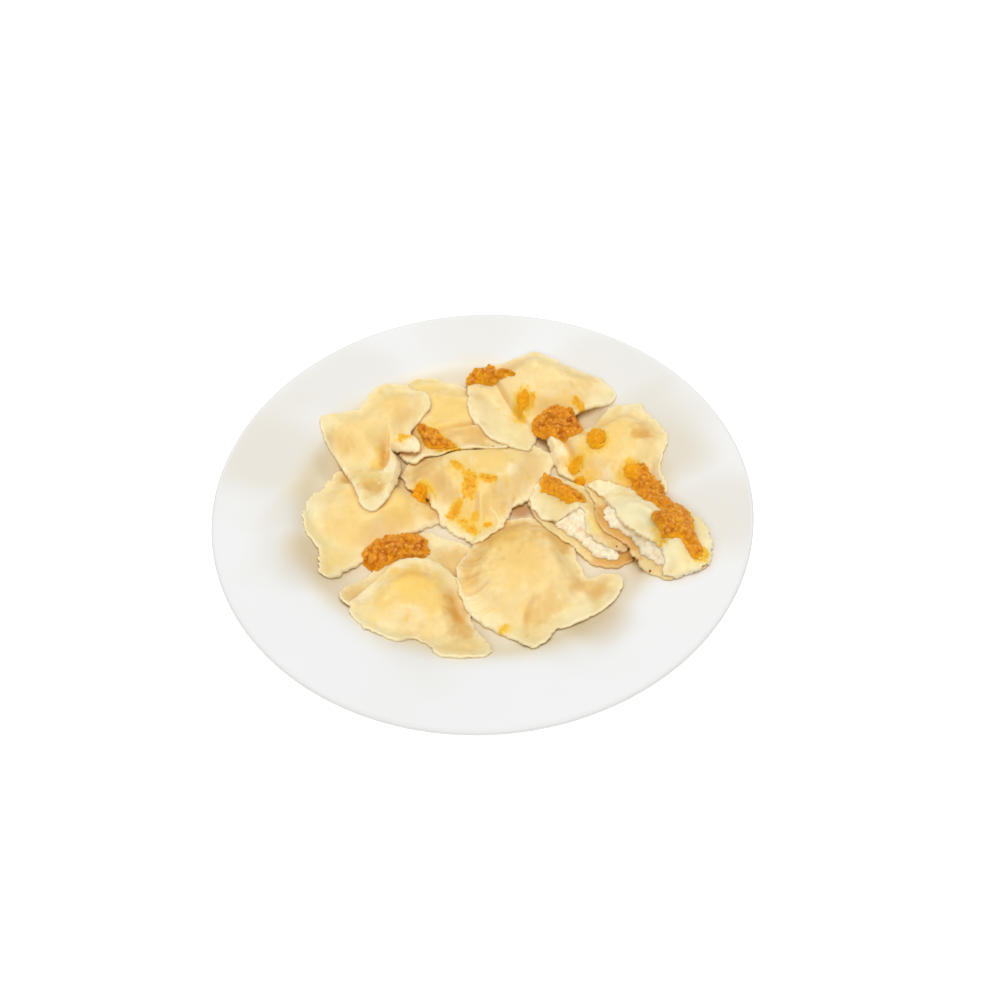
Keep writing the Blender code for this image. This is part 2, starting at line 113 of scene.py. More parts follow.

# Each dumpling from the lowest to the highest.
# outline: points round its edge, anticlockwise. belly: middle x, y, half length, half width, turn in
# degrees and height of the filled part. lifts: x, y, height and spread of the places that stand up.
# rough: how far the edge is pushed in and out.
# folds: path, width and height of a ridge, or of a groove where the height is negative; with a
# fourth value, a ledge that is raised on the left of the path and sinks back over that reach.
# butter and the darker and paler patches: x, y, radius and strength of patches soaked in fat, of darker
# ones, partly denser dough and partly painted shade, and of paler ones, partly paler dough and partly
# painted highlights.
DUMPLINGS = {
    "dumpling_left": {
        "outline": [
            (-91, -12), (-88, -20), (-82, -29), (-80, -43), (-74, -45), (-67, -39), (-57, -29),
            (-40, -17), (-25, -10), (-17, -3), (-26, 8), (-38, 18), (-52, 29), (-68, 30), (-78, 25),
            (-84, 14), (-90, 2),
        ],
        "rough": 0.3,
        "belly": (-56, -2, 32, 22, -15, 10),
        "lifts": [(-78, -38, 0.7, 9)],
        "folds": [
            ([(-75, 24), (-72, 17), (-68, 12)], 1.3, -1.2),
            ([(-78, 20), (-74, 14), (-70, 8)], 1.6, 0.8),
            ([(-80, -20), (-72, -16), (-64, -12)], 2.5, -0.8),
            ([(-38, 10), (-30, 6), (-24, 0)], 2.0, -0.7),
        ],
        "butter": [(-56, 4, 17, 0.55), (-44, -4, 12, 0.6), (-66, -14, 12, 0.35), (-75, -34, 9, 0.4)],
        "tan_and_shade": [(-23, -4, 8, 0.8), (-72, 22, 8, 0.5)],
        "pale": [(-88, -4, 8, 0.7), (-62, 16, 8, 0.3)],
    },
    "dumpling_low_front": {
        "outline": [
            (-65, -63), (-52, -68), (-35, -70), (-20, -62), (-12, -50), (-6, -38), (-6, -26),
            (-17, -20), (-30, -15), (-42, -22), (-50, -33), (-60, -44), (-68, -54),
        ],
        "rough": 0.3,
        "belly": (-38, -46, 22, 16, 0, 4),
        "lifts": [(-66, -55, 2, 8)],
        "folds": [([(-24, -24), (-16, -32), (-12, -44)], 2.0, 0.8)],
        "butter": [],
        "tan_and_shade": [(-64, -58, 10, 0.6), (-14, -34, 12, 0.6)],
        "pale": [(-20, -22, 7, 0.5)],
    },
    "dumpling_front_left": {
        "outline": [
            (-60, -73), (-52, -80), (-40, -85), (-32, -81), (-25, -86), (-21, -94), (-12, -96),
            (0, -94), (4, -89), (-3, -77), (-6, -68), (-9, -57), (-13, -46), (-21, -39), (-30, -36),
            (-42, -37), (-51, -45), (-59, -56), (-63, -65),
        ],
        "rough": 0.22,
        "belly": (-37, -60, 25, 21, -5, 7.5),
        "lifts": [(-34, -38, 2.5, 12)],
        "folds": [
            ([(-60, -62), (-55, -52), (-47, -43), (-36, -39), (-26, -40), (-18, -46)], 2.8, 1.5),
            ([(-44, -51), (-36, -49), (-28, -49), (-22, -47)], 2.4, -1.1),
            ([(-17, -50), (-14, -59), (-12, -67), (-8, -77)], 2.6, -2.2),
            ([(-21, -66), (-17, -76), (-18, -88)], 2.0, 0.8),
            ([(-14, -84), (-6, -86), (0, -88)], 2.0, 0.9),
            ([(-34, -78), (-28, -82), (-24, -84)], 2.5, -0.7),
            ([(-54, -64), (-47, -66), (-42, -64)], 2.2, -0.7),
        ],
        "butter": [(-34, -55, 13, 0.9), (-26, -62, 9, 0.7), (-46, -64, 8, 0.5)],
        "tan_and_shade": [(-11, -66, 8, 1.0), (-9, -76, 7, 0.8), (-30, -81, 7, 0.4), (-62, -60, 5, 0.4),
                (-11, -87, 9, 0.35)],
        "pale": [(-56, -56, 8, 0.7), (-40, -39, 7, 0.7), (-26, -40, 7, 0.7), (-44, -74, 6, 0.5),
                 (-32, -70, 7, 0.4)],
    },
    "dumpling_front": {
        "outline": [
            (-11, -57), (-6, -67), (5, -75), (15, -83), (22, -91), (29, -85), (33, -77), (40, -76),
            (52, -71), (61, -65), (66, -55), (65, -48), (58, -45), (51, -47), (47, -37), (45, -25),
            (39, -15), (30, -8), (18, -7), (6, -11), (-3, -19), (-10, -31), (-14, -42),
        ],
        "rough": 0.25,
        "belly": (19, -39, 30, 27, 10, 12),
        "lifts": [(62, -48, 2.2, 9), (24, -84, 0.9, 9), (44, -70, 0.6, 10)],
        "folds": [
            ([(29, -60), (24, -62), (20, -69), (18, -80)], 1.0, -1.1),
            ([(34, -62), (29, -66), (27, -74), (25, -84)], 3.0, 1.0),
            ([(47, -44), (46, -52), (40, -58)], 2.4, -1.3),
            ([(41, -42), (42, -52), (38, -62)], 1.8, 0.8),
            ([(48, -58), (54, -56), (60, -52)], 4.0, -1.4),
            ([(-13, -38), (-7, -42), (2, -45)], 0.7, 1.1),
            ([(-12, -45), (-6, -46), (0, -47)], 0.7, -1.0),
            ([(-12, -50), (-5, -49), (6, -49)], 0.8, 1.2),
            ([(-10, -55), (-3, -54), (4, -52)], 0.7, -1.1),
            ([(-10, -60), (-3, -59), (6, -56)], 0.8, 1.0),
            ([(-7, -66), (0, -63), (8, -60)], 0.7, -0.9),
            ([(-3, -70), (3, -66), (9, -63)], 0.8, 0.8),
            ([(-12, -32), (-6, -36), (1, -38)], 0.7, -0.9),
        ],
        "butter": [(16, -42, 18, 0.4), (9, -75, 4, 0.9), (-9, -50, 6, 0.3)],
        "tan_and_shade": [(24, -70, 5, 0.6), (30, -64, 7, 0.4), (52, -54, 9, 0.5), (10, -20, 18, 1.0),
                (19, -39, 16, 0.35), (38, -23, 11, 1.0), (-8, -34, 11, 0.8), (-10, -48, 7, 0.6)],
        "pale": [(-4, -60, 10, 0.6), (2, -70, 8, 0.5), (44, -70, 8, 0.8), (46, -60, 6, 0.5),
                 (60, -62, 6, 0.5)],
    },
    "dumpling_right": {
        "outline": [
            (31, 53), (36, 43), (38, 33), (42, 22), (53, 14), (66, 6), (80, 0), (94, -2), (93, 12),
            (95, 21), (99, 30), (97, 40), (90, 51), (88, 58), (76, 60), (69, 59), (60, 54), (45, 55),
        ],
        "rough": 0.25,
        "belly": (64, 32, 27, 24, 0, 11),
        "lifts": [(36, 44, 3, 7), (68, 15, 1.6, 2.4)],
        "folds": [
            ([(34, 51), (38, 43), (41, 34), (44, 25)], 3.0, 3.6),
            ([(41, 49), (45.5, 40), (48, 31), (49, 22)], 1.1, -1.9),
            ([(78, 35), (84, 33), (92, 36)], 1.6, -1.8),
            ([(79, 42), (86, 40), (93, 40)], 3.0, 1.0),
            ([(72, 54), (78, 50), (86, 46)], 1.6, -1.0),
            ([(92, 22), (89, 12), (89, 0)], 1.8, -1.4),
            ([(84, 56), (82, 48)], 1.5, 0.8),
        ],
        "butter": [(66, 36, 16, 0.6), (68, 51, 10, 0.4), (52, 26, 10, 0.7), (76, 14, 8, 0.9),
                   (54, 16, 8, 0.8)],
        "tan_and_shade": [(86, 36, 8, 0.6), (39, 30, 6, 0.7)],
        "pale": [(34, 50, 6, 1.0), (38, 42, 5, 1.0), (42, 33, 5, 1.0), (44, 26, 4, 0.9), (94, 10, 7, 0.7),
                 (68, 15, 5, 1.0), (80, 55, 9, 0.4)],
    },
    "dumpling_middle": {
        "outline": [
            (-44, 26), (-42, 18), (-35, 9), (-28, 4), (-24, -2), (-21, -10), (-12, -19), (-2, -23),
            (5, -19), (11, -12), (15, -2), (24, 5), (34, 18), (38, 31), (34, 41), (15, 46), (-8, 46),
            (-24, 43), (-38, 35),
        ],
        "rough": 0.4,
        "belly": (0, 18, 38, 24, 0, 12),
        "lifts": [(-30, 9, 1.6, 6), (18, 2, 1.2, 9)],
        "folds": [
            ([(-38, 19), (-32, 14), (-28, 7), (-25, -2)], 1.4, 2.0),
            ([(-3, 4), (-3, -3), (-3, -9)], 0.8, -1.2),
            ([(-1, 3), (-1, -4), (-1, -11)], 0.9, 1.0),
            ([(2, 2), (3, -3), (2, -8)], 0.8, -0.7),
            ([(14, 24), (15, 15), (16, 8), (16, 3)], 1.9, 1.1),
            ([(17, 6), (16, 2), (14, -4)], 0.8, -1.5),
            ([(3, -4), (7, -7), (8, -12), (7, -18)], 0.8, 1.1),
            ([(2, -6), (5, -8), (6, -12)], 0.8, -0.8),
            ([(-12, 34), (0, 35), (14, 33)], 3.0, -0.5),
        ],
        "butter": [(-12, 18, 8, 0.7), (-6, 8, 8, 0.7), (2, 11, 7, 0.7), (-13, -6, 7, 0.8), (-6, -13, 8, 0.9),
                   (2, -13, 6, 0.8), (4, 24, 14, 0.6), (4, -1, 8, 0.4)],
        "tan_and_shade": [(-32, 24, 12, 0.7), (-24, 12, 9, 0.6), (-18, 4, 5, 0.4), (12, -2, 5, 0.6)],
        "pale": [(-12, -19, 6, 0.8), (-20, -4, 5, 0.6), (15, 15, 4, 0.9), (6, -12, 5, 0.6), (26, 8, 6, 0.4)],
    },
    "dumpling_back_left": {
        "outline": [
            (-47, 50), (-45, 38), (-37, 31), (-30, 36), (-20, 34), (-6, 37), (10, 38), (16, 46),
            (15, 62), (11, 75), (3, 84), (-10, 86), (-22, 88), (-34, 88), (-42, 83), (-46, 69),
        ],
        "rough": 0.25,
        "belly": (-18, 66, 28, 22, 0, 9),
        "lifts": [(-12, 46, 1.0, 10), (-35, 36, 1.2, 6)],
        "folds": [
            ([(4, 55), (-6, 52), (-20, 48), (-30, 45)], 0.9, 1.8, 7),
            ([(-30, 47), (-20, 50), (-6, 54), (4, 56)], 1.0, -1.2),
            ([(-26, 78), (-18, 76), (-8, 78)], 1.4, -0.9),
            ([(-25, 80), (-26, 72), (-24, 66)], 1.5, 0.9),
            ([(-28, 40), (-14, 41), (2, 42)], 3.0, 0.9),
            ([(-40, 36), (-30, 38), (-20, 37)], 1.2, -0.8),
        ],
        "butter": [(-16, 64, 15, 0.65), (-28, 50, 10, 0.8), (-30, 80, 10, 0.5)],
        "tan_and_shade": [(-4, 45, 12, 0.7), (-18, 43, 9, 0.5), (0, 72, 9, 0.3)],
        "pale": [(-34, 34, 8, 0.6), (8, 40, 6, 0.4)],
    },
    "dumpling_back": {
        "outline": [
            (-8, 84), (-7, 72), (-8, 64), (-4, 54), (8, 44), (19, 39), (26, 38), (31, 50), (41, 59),
            (52, 61), (58, 63), (71, 62), (75, 67), (68, 78), (55, 87), (43, 95), (33, 101), (24, 99),
            (12, 96), (0, 94),
        ],
        "rough": 0.18,
        "belly": (38, 80, 34, 20, -22, 11),
        "lifts": [(30, 100, 1.5, 8)],
        "folds": [
            ([(8, 86), (11, 79), (15, 72), (20, 65), (26, 58), (30, 50)], 0.5, 2.6, 7),
            ([(7, 84), (10.4, 78), (14.4, 71), (19.4, 64), (25.4, 57)], 0.6, -1.4),
            ([(28, 96), (30, 88), (32, 78)], 3.0, 0.5),
            ([(34, 90), (38, 83), (40, 75)], 2.4, -0.8),
            ([(28, 70), (38, 67), (50, 67), (60, 68)], 2.0, 1.3),
            ([(29, 75), (40, 72), (52, 72), (60, 73)], 1.8, -0.8),
            ([(60, 74), (66, 67), (74, 67)], 2.2, -0.8),
        ],
        "butter": [(39, 80, 10, 0.35), (24, 66, 9, 0.6), (44, 62, 10, 0.7)],
        "tan_and_shade": [(60, 80, 12, 0.35), (18, 92, 8, 0.5), (-2, 68, 8, 0.25)],
        "pale": [(4, 62, 12, 0.5), (12, 50, 10, 0.4), (66, 68, 8, 0.5), (44, 69, 7, 0.5), (28, 76, 6, 0.4),
                 (39, 79, 9, 0.7)],
    },
    "dumpling_top_left": {
        "outline": [
            (-88, 55), (-85, 42), (-79, 33), (-73, 23), (-66, 6), (-62, -4), (-55, -9), (-49, -2),
            (-45, 10), (-44, 26), (-46, 36), (-50, 42), (-42, 38), (-34, 37), (-34, 43), (-39, 52),
            (-32, 59), (-28, 67), (-33, 77), (-40, 81), (-53, 82), (-61, 76), (-68, 65), (-77, 60),
        ],
        "rough": 0.18,
        "belly": (-56, 56, 26, 24, 30, 8),
        "lifts": [(-37, 42, 3, 6), (-48, 20, 2, 9)],
        "folds": [
            ([(-52.4, 49), (-53, 41), (-52.8, 32), (-54, 21)], 1.4, -2.9),
            ([(-51, 54), (-51, 47), (-51, 40), (-50, 31), (-52, 20), (-54, 12)], 0.5, 2.8, 5),
            ([(-49, 38), (-46, 28), (-46, 18), (-48, 8), (-52, 0)], 1.5, 1.6),
            ([(-60, 5), (-56, 7), (-52, 9)], 3.0, -0.8),
            ([(-45, 46), (-41, 43), (-37, 43)], 1.4, 1.0),
            ([(-60, 70), (-52, 64), (-42, 66)], 2.4, -0.6),
            ([(-46, 74), (-36, 70), (-32, 62)], 2.5, 1.0),
            ([(-82, 50), (-76, 48), (-70, 44)], 2.0, -0.8),
        ],
        "butter": [(-55, 38, 5, 0.8), (-56, 28, 5, 0.8), (-66, 46, 14, 0.3), (-50, 66, 10, 0.4),
                   (-60, 16, 8, 0.4)],
        "tan_and_shade": [(-56, 26, 5, 0.7), (-57, 7, 7, 1.0), (-80, 40, 9, 0.5), (-70, 20, 6, 0.4),
                (-42, 66, 12, 0.3)],
        "pale": [(-36, 72, 8, 0.3), (-47, 24, 8, 1.0), (-54, -5, 7, 0.3), (-85, 52, 7, 0.5),
                 (-38, 40, 6, 0.9)],
    },
}

# The dumpling that is cut in two. top and filling: the dough's upper sheet and the filling, whose cut
# edges run from the outline's far side along the crest and along the foot of the cut face.
# The lower sheet's darker patches: partly darker dough and partly painted shade under the upper sheet;
# they also give it the painted groove shade. slope: width of the filling's face.
HALVES = {
    "dumpling_half_left": {
        "outline": [
            (24, 3), (26, -5), (30, -14), (37, -22), (46, -29), (53, -37), (61, -40), (69, -40),
            (74, -36), (71, -25), (64, -12), (60, 0), (54, 11), (45, 16), (36, 21), (29, 13),
        ],
        "filling": [
            (31, 2), (34, -8), (38, -15), (43, -21), (50, -27), (54, -33), (61, -36.5), (67, -35),
            (69, -30), (67, -22), (61, -12), (56, 0), (50, 8), (40, 14), (33, 10),
        ],
        "top": [
            (24, 3), (27, -5), (31, -11), (35, -12), (42, -12.5), (47, -11), (50.5, -10.5), (51, -19),
            (53.5, -24.5), (60, -30), (67, -32.5), (71, -31), (71, -24), (65, -11), (60, 1), (54, 12),
            (45, 17), (36, 20), (28, 12),
        ],
        "belly": (50, -10, 30, 20, -40, 11),
        "slope": 13,
        "folds": [
            ([(52, -2), (56, -12), (62, -20)], 2.0, 1.0),
            ([(30, -2), (38, -6), (46, -8)], 2.2, 0.9),
        ],
        "under_shade_and_tan": [(70, -35, 11, 1.0), (60, -38, 8, 0.6)],
        "lifts": [(25, 2, 1.2, 4)],
        "butter": [(46, -2, 12, 0.5), (56, -18, 6, 0.8)],
        "tan_and_shade": [(66, -28, 10, 1.0), (60, -10, 7, 0.6)],
        "pale": [(30, -4, 9, 0.6), (46, -12, 5, 0.5)],
    },
    "dumpling_half_right": {
        "outline": [
            (54, 12), (57, -1), (57, -14), (59, -21), (64, -26), (70, -29), (73, -37), (76, -47),
            (80, -54), (86, -58), (94, -57), (104, -54), (108, -45), (110, -36), (106, -23), (95, -11),
            (86, 0), (73, 7), (62, 14),
        ],
        "filling": [
            (64, 0), (62, -8), (61, -15), (65, -20), (71, -25), (76, -34), (79, -44), (84, -50),
            (92, -52), (100, -48), (104, -38), (102, -26), (92, -13), (82, -2), (70, 5),
        ],
        "top": [
            (55, 11), (59, 6), (62.5, 0), (64.5, -6), (67, -14), (71, -22), (77, -31), (83, -41),
            (86, -49), (84, -54), (88, -58), (96, -57), (105, -53), (109, -45), (110, -36), (106, -23),
            (95, -10), (86, 1), (73, 8), (62, 13),
        ],
        "belly": (84, -24, 32, 20, -50, 8),
        "slope": 10.5,
        "folds": [
            ([(78, -12), (84, -22), (88, -32), (89, -42)], 1.8, 1.2),
            ([(74, -12), (80, -22), (85, -34)], 1.6, -0.6),
            ([(102, -52), (106, -44), (107, -34)], 1.2, 0.8),
            ([(57, 11), (63, 12), (69, 9)], 2.4, 2.2),
        ],
        "under_shade_and_tan": [(58, -14, 12, 0.8), (68, -28, 12, 0.7)],
        "lifts": [],
        "butter": [(98, -46, 6, 0.4)],
        "tan_and_shade": [(60, 6, 7, 0.6), (90, -54, 7, 0.35)],
        "pale": [(76, -14, 15, 1.0), (88, -44, 12, 0.8), (106, -40, 7, 0.6), (64, 8, 9, 1.0)],
    },
}

# The halves' sheets of dough: thickness, and width of the lower and upper sheet's rounded rim
CUT_SHEET = 1.5
LOWER_ROUNDING = 0.6
UPPER_ROUNDING = 0.5

# Height of the filling at the foot of its face
FILLING_EDGE = 1.0

LAYING_ORDER = [
    "dumpling_left", "dumpling_low_front", "dumpling_front_left", "dumpling_front", "dumpling_right",
    "dumpling_middle", "dumpling_back_left", "dumpling_half_left", "dumpling_half_right",
    "dumpling_back", "dumpling_top_left",
]

# Loose grains of onion: how many lie on a square millimetre of a mound whose grains are 1, and what
# part of its size each is sunk
GRAINS_PER_MM2 = 0.6
GRAIN_SUNK = 0.3

# Mounds of chopped fried onion: outline, anticlockwise, height in the middle, how fresh and yellow
# the onion is, and how densely loose grains lie on it
ONIONS = {
    "onion_back": {
        "outline": [
            (-8, 85), (-2, 85), (6, 81), (14, 81), (19, 82), (17, 88), (10, 91), (4, 95), (-5, 94),
        ],
        "height": 5,
        "fresh": 0.15,
        "grains": 0.5,
    },
    "onion_right": {
        "outline": [
            (28, 52), (34, 45.5), (42, 42), (50, 43), (55, 48.5), (56, 56), (52, 62), (44, 65),
            (35, 64), (29, 59.5),
        ],
        "height": 7,
        "fresh": 0,
        "grains": 0.5,
    },
    "onion_left": {
        "outline": [
            (-59, -35), (-53, -38), (-46, -34), (-38, -33), (-31, -33), (-27, -28), (-29, -19),
            (-38, -15), (-47, -17), (-56, -21), (-61, -29),
        ],
        "height": 6,
        "fresh": 0,
        "grains": 0.55,
    },
    "onion_crease": {
        "outline": [
            (-33, 47), (-30, 42), (-22, 38), (-15, 35), (-13, 38), (-17, 42), (-23, 47), (-29, 53),
            (-35, 55),
        ],
        "height": 3.5,
        "fresh": 0.05,
        "grains": 0.25,
    },
    "onion_dab": {
        "outline": [(56, 34), (60, 29), (65, 30), (66, 37), (61, 43), (57, 40)],
        "height": 4,
        "fresh": 0.7,
        "grains": 0.25,
    },
    "onion_low_right": {
        "outline": [
            (78, 8), (80, -2), (84, -9), (89, -16), (94, -19), (97, -16), (94, -8), (92, 4), (88, 15),
            (84, 18), (79, 14),
        ],
        "height": 5,
        "fresh": 0.05,
        "grains": 0.5,
    },
    "onion_half_right": {
        "outline": [
            (84, -30), (87, -39), (94, -42), (99, -49), (102, -51), (104, -47), (103, -36), (102, -24),
            (99, -15), (93, -16), (84, -21),
        ],
        "height": 4,
        "fresh": 0.12,
        "grains": 0.5,
    },
    "onion_half_left": {
        "outline": [
            (30, 9), (35, 3), (40, -3), (44, -8), (49, -6), (53, -1), (50, 6), (43, 12), (38, 18),
            (32, 19),
        ],
        "height": 4,
        "fresh": 0.25,
        "grains": 0.35,
    },
}

# Small lumps of softer, lighter onion: x, y, half length, half width, turn and height
DABS = [
    (23, 67, 6, 3, 75, 1.5), (61, 33, 4.4, 4.2, 30, 1.6), (50, 25, 3.2, 2.8, 0, 0.5),
    (52, 16, 3, 2.4, 80, 1.6), (-33, 8, 5.5, 3.8, -50, 2.6), (78, 15, 3.4, 3, 0, 0.8),
]

# Patches where onion fat has soaked into the dough, with small bits of onion lying on them: x, y,
# half length, half width, turn, strength and number of bits
STAINS = [
    (-13.5, 19.5, 5, 2.2, -45, 0.8, 3), (-6.5, 7, 7.5, 3.6, 85, 1.0, 8), (2, 10, 5.5, 2.5, -8, 1.0, 5),
    (-8, 13, 3, 1.8, -45, 0.7, 0), (-14.5, -4, 5.5, 2.8, 45, 0.9, 5), (-7, -13, 6.5, 3, -45, 0.75, 4),
    (-4, -8, 2.6, 1.8, 60, 0.6, 0), (2, -12, 2.4, 1.8, 0, 0.9, 1),
    (-43, 47, 4, 2.6, 20, 0.7, 0), (-31, 9, 7, 5, -50, 0.5, 0), (50, 25, 4.4, 4, 0, 0.7, 4),
    (61, 33, 6.5, 6, 0, 0.45, 0), (52, 16, 5, 4, 0, 0.35, 0), (78, 14, 5, 5, 0, 0.7, 4),
    (23, 67, 8, 4.5, 75, 0.5, 0), (-22, 41, 12, 4, -35, 0.7, 6), (86, -36, 6, 4, 90, 0.4, 4),
    (103, -48, 4, 3.5, 60, 0.7, 0), (27, 67, 4, 2.6, 40, 0.8, 3), (54, 65, 3.5, 2, -40, 0.8, 2),
    (9, -75, 3, 1.6, 60, 0.5, 0),
]

# Painted shade on the plate, warm brown, in the gaps between the dumplings and beside them: x, y, radius
# and strength
GAP_SHADE_PATCHES = [
    (20, -1, 6, 0.9), (66, 61, 5, 0.05), (-29, 0, 4, 0.7), (-46, -12, 4, 0.3), (50, -78, 13, 0.12),
    (-84, -34, 18, 0.12), (-80, 26, 10, 0.12),
]

# Painted warm shade on the plate, on the walls of the well and in front of the dumplings: x, y, radius
# and strength
WARM_SHADE_PATCHES = [
    (-90, 0, 28, 0.26), (-84, -34, 22, 0.34), (-80, 26, 14, 0.34), (50, -78, 18, 0.36),
    (34, -88, 16, 0.14), (-30, -84, 16, 0.12), (92, 28, 34, 0.38), (116, -18, 32, 0.2),
    (-112, 20, 34, 0.26), (-70, 86, 36, 0.14), (0, 118, 36, 0.1), (70, 90, 36, 0.14),
]

# Single small things: kind, x, y and size
CRUMBS = [
    ("fat_drops", 102, -50, 1.8), ("fat_drops", 104, -48, 1.3), ("pepper_flecks", 79, -52, 1.3),
    ("pepper_flecks", 46, -28, 0.6), ("dough_crumbs", 66, 11, 2.0), ("onion_crumbs", 6, 39, 1.0),
    ("onion_crumbs", 11, 41, 0.8), ("onion_crumbs", 67, -33, 1.4), ("onion_crumbs", 66, -31, 1.1),
]

# --------------------------------------------------------------------------- curves and patterns


def smoothstep(value):
    """0 below 0, 1 above 1, and a smooth S between."""
    part = np.clip(value, 0.0, 1.0)
    return part * part * (3.0 - 2.0 * part)


def through_points(knots, steps):
    """Catmull-Rom curve: places steps (in knots from the first inner one) on a run of points."""
    start = np.minimum(steps.astype(int), len(knots) - 4)
    part = (steps - start)[:, None]
    a, b, c, d = (knots[start + shift] for shift in range(4))
    return 0.5 * (
        2.0 * b
        + (c - a) * part
        + (2.0 * a - 5.0 * b + 4.0 * c - d) * part**2
        + (3.0 * b - a - 3.0 * c + d) * part**3
    )


def evenly(dense, count, closed):
    """The same line read at count places with equal lengths between them."""
    length = np.concatenate([[0.0], np.cumsum(np.hypot(*np.diff(dense, axis=0).T))])
    places = np.linspace(0.0, length[-1], count, endpoint=not closed)
    return np.column_stack([np.interp(places, length, dense[:, axis]) for axis in (0, 1)])


def closed_curve(points, count):
    """Smooth closed curve through the points, at count even places."""
    knots = np.array(points, float)
    wrapped = np.vstack([knots[-1:], knots, knots[:2]])
    dense = through_points(wrapped, np.linspace(0.0, len(knots), 24 * len(knots) + 1))
    return evenly(dense, count, closed=True)


def open_curve(points, count):
    """Smooth open curve through the points, at count even places."""
    knots = np.array(points, float)
    wrapped = np.vstack([2 * knots[0] - knots[1], knots, 2 * knots[-1] - knots[-2]])
    dense = through_points(wrapped, np.linspace(0.0, len(knots) - 1, 16 * len(knots)))
    return evenly(dense, count, closed=False)


def waves(points, size, seed, count=16):
    """Smooth random field of mean 0 and spread about 1: a sum of plane waves of about that length.

    Works on points of two or three coordinates.
    """
    random = np.random.default_rng(seed)
    turns = random.normal(size=(count, points.shape[-1]))
    turns /= np.linalg.norm(turns, axis=1, keepdims=True)
    lengths = size * random.uniform(0.7, 1.5, count)
    phases = random.uniform(0.0, 2.0 * math.pi, count)
    field = np.zeros(points.shape[:-1])
    for turn, length, phase in zip(turns, lengths, phases):
        field += np.cos(points @ turn * (2.0 * math.pi / length) + phase)
    return field * math.sqrt(2.0 / count)


def lumps(points, size, seed):
    """Rounded lumps: 1 at the middle of each cell of a jittered grid, down to 0 between the cells.

    Works on points of three coordinates. Each point looks at the cell middles of the 27 boxes
    round it and takes the nearest. The jitter is a sine of a sine of the box's place, whose factors
    only scramble it.
    """
    place = points / size
    home = np.floor(place)
    nearest = np.full(len(points), 9.0)
    for shift in np.ndindex(3, 3, 3):
        box = home + np.array(shift) - 1.0
        middle = box.copy()
        for axis in range(3):
            key = box @ np.array([127.1, 311.7, 74.7]) + 53.3 * axis + 17.17 * seed
            middle[:, axis] += 0.5 + 0.42 * np.sin(43.758 * np.sin(key))
        nearest = np.minimum(nearest, ((place - middle) ** 2).sum(axis=1))
    return np.clip(1.0 - nearest / 0.55, 0.0, 1.0)


def inward_distance(points, loop):
    """Distance of each point to the closed loop: positive inside it and negative outside."""
    nearest = np.full(len(points), np.inf)
    crossings = np.zeros(len(points), int)
    ends = np.roll(loop, -1, axis=0)
    for first in range(0, len(loop), 32):
        start = loop[first : first + 32]
        side = ends[first : first + 32] - start
        offset = points[:, None] - start
        along = np.clip((offset * side).sum(-1) / (side**2).sum(-1), 0.0, 1.0)
        gap = offset - along[..., None] * side
        nearest = np.minimum(nearest, (gap**2).sum(-1).min(axis=1))
        rise = np.where(side[:, 1] == 0.0, 1.0, side[:, 1])
        spans = (offset[..., 1] < 0.0) != (offset[..., 1] < side[:, 1])
        crossings += (spans & (offset[..., 0] < offset[..., 1] * side[:, 0] / rise)).sum(axis=1)
    return np.where(crossings % 2 == 1, 1.0, -1.0) * np.sqrt(nearest)


def beside_path(points, path):
    """Distance of each point to an open path, positive on its left, and how far along, 0 to 1."""
    line = open_curve(path, 24)
    start, side = line[:-1], np.diff(line, axis=0)
    offset = points[:, None] - start
    along = np.clip((offset * side).sum(-1) / (side**2).sum(-1), 0.0, 1.0)
    gap = np.linalg.norm(offset - along[..., None] * side, axis=-1)
    nearest = gap.argmin(axis=1)
    row = np.arange(len(points))
    turn = side[nearest, 0] * offset[row, nearest, 1] - side[nearest, 1] * offset[row, nearest, 0]
    return np.sign(turn) * gap[row, nearest], (nearest + along[row, nearest]) / len(side)


def fold_relief(points, folds):
    """Sum of the folds, each along its path and fading at its ends.

    A fold of three values is a rounded ridge, or a groove where its height is negative. A fold of
    four is a ledge: it rises sharply on the left of the path and sinks back over its reach.
    """
    total = np.zeros(len(points))
    for path, width, height, *reach in folds:
        gap, along = beside_path(points, path)
        fade = 0.1 + 0.9 * smoothstep(along / 0.22) * smoothstep((1.0 - along) / 0.22)
        shape = np.exp(-0.5 * (gap / width) ** 2)
        if reach:
            shape = smoothstep(0.5 + 0.5 * gap / width) * np.exp(-((gap / reach[0]) ** 2))
        total += height * fade * shape
    return total


def groove_fat_and_shade(points, folds):
    """1 along the middle of the deep grooves and 0 away, stronger in deeper ones: painted fat and shade."""
    total = np.zeros(len(points))
    for path, width, height, *_ in folds:
        if height < -0.9:
            gap, along = beside_path(points, path)
            fade = smoothstep(along / 0.3) * smoothstep((1.0 - along) / 0.3)
            shape = fade * np.exp(-0.5 * (gap / (0.9 * width)) ** 2)
            total = np.maximum(total, np.clip(-0.3 * height, 0.0, 0.8) * shape)
    return total


def spots(points, patches, seed, coarse=1.0):
    """Strongest of the round patches at each point, with ragged soft edges."""
    total = np.zeros(len(points))
    uneven = 1.0 + 0.16 * waves(points, 9.0 * coarse, seed) + 0.10 * waves(points, 3.5 * coarse, seed + 1)
    for x, y, radius, strength in patches:
        reach = np.hypot(points[:, 0] - x, points[:, 1] - y) / radius * uneven
        total = np.maximum(total, strength * smoothstep(1.35 - reach))
    return total


def stain_mask(points, seed):
    """Strongest of the soaked patches at each point: even inside, with a ragged edge."""
    total = np.zeros(len(points))
    uneven = 0.12 * waves(points, 6.0, seed) + 0.16 * waves(points, 2.4, seed + 1)
    for x, y, half_length, half_width, turn, strength, _ in STAINS:
        inside = mound(points, x, y, half_length, half_width, turn, 1.35)
        total = np.maximum(total, strength * smoothstep(1.15 * inside + 1.1 * uneven * (inside > 0.0)))
    return total


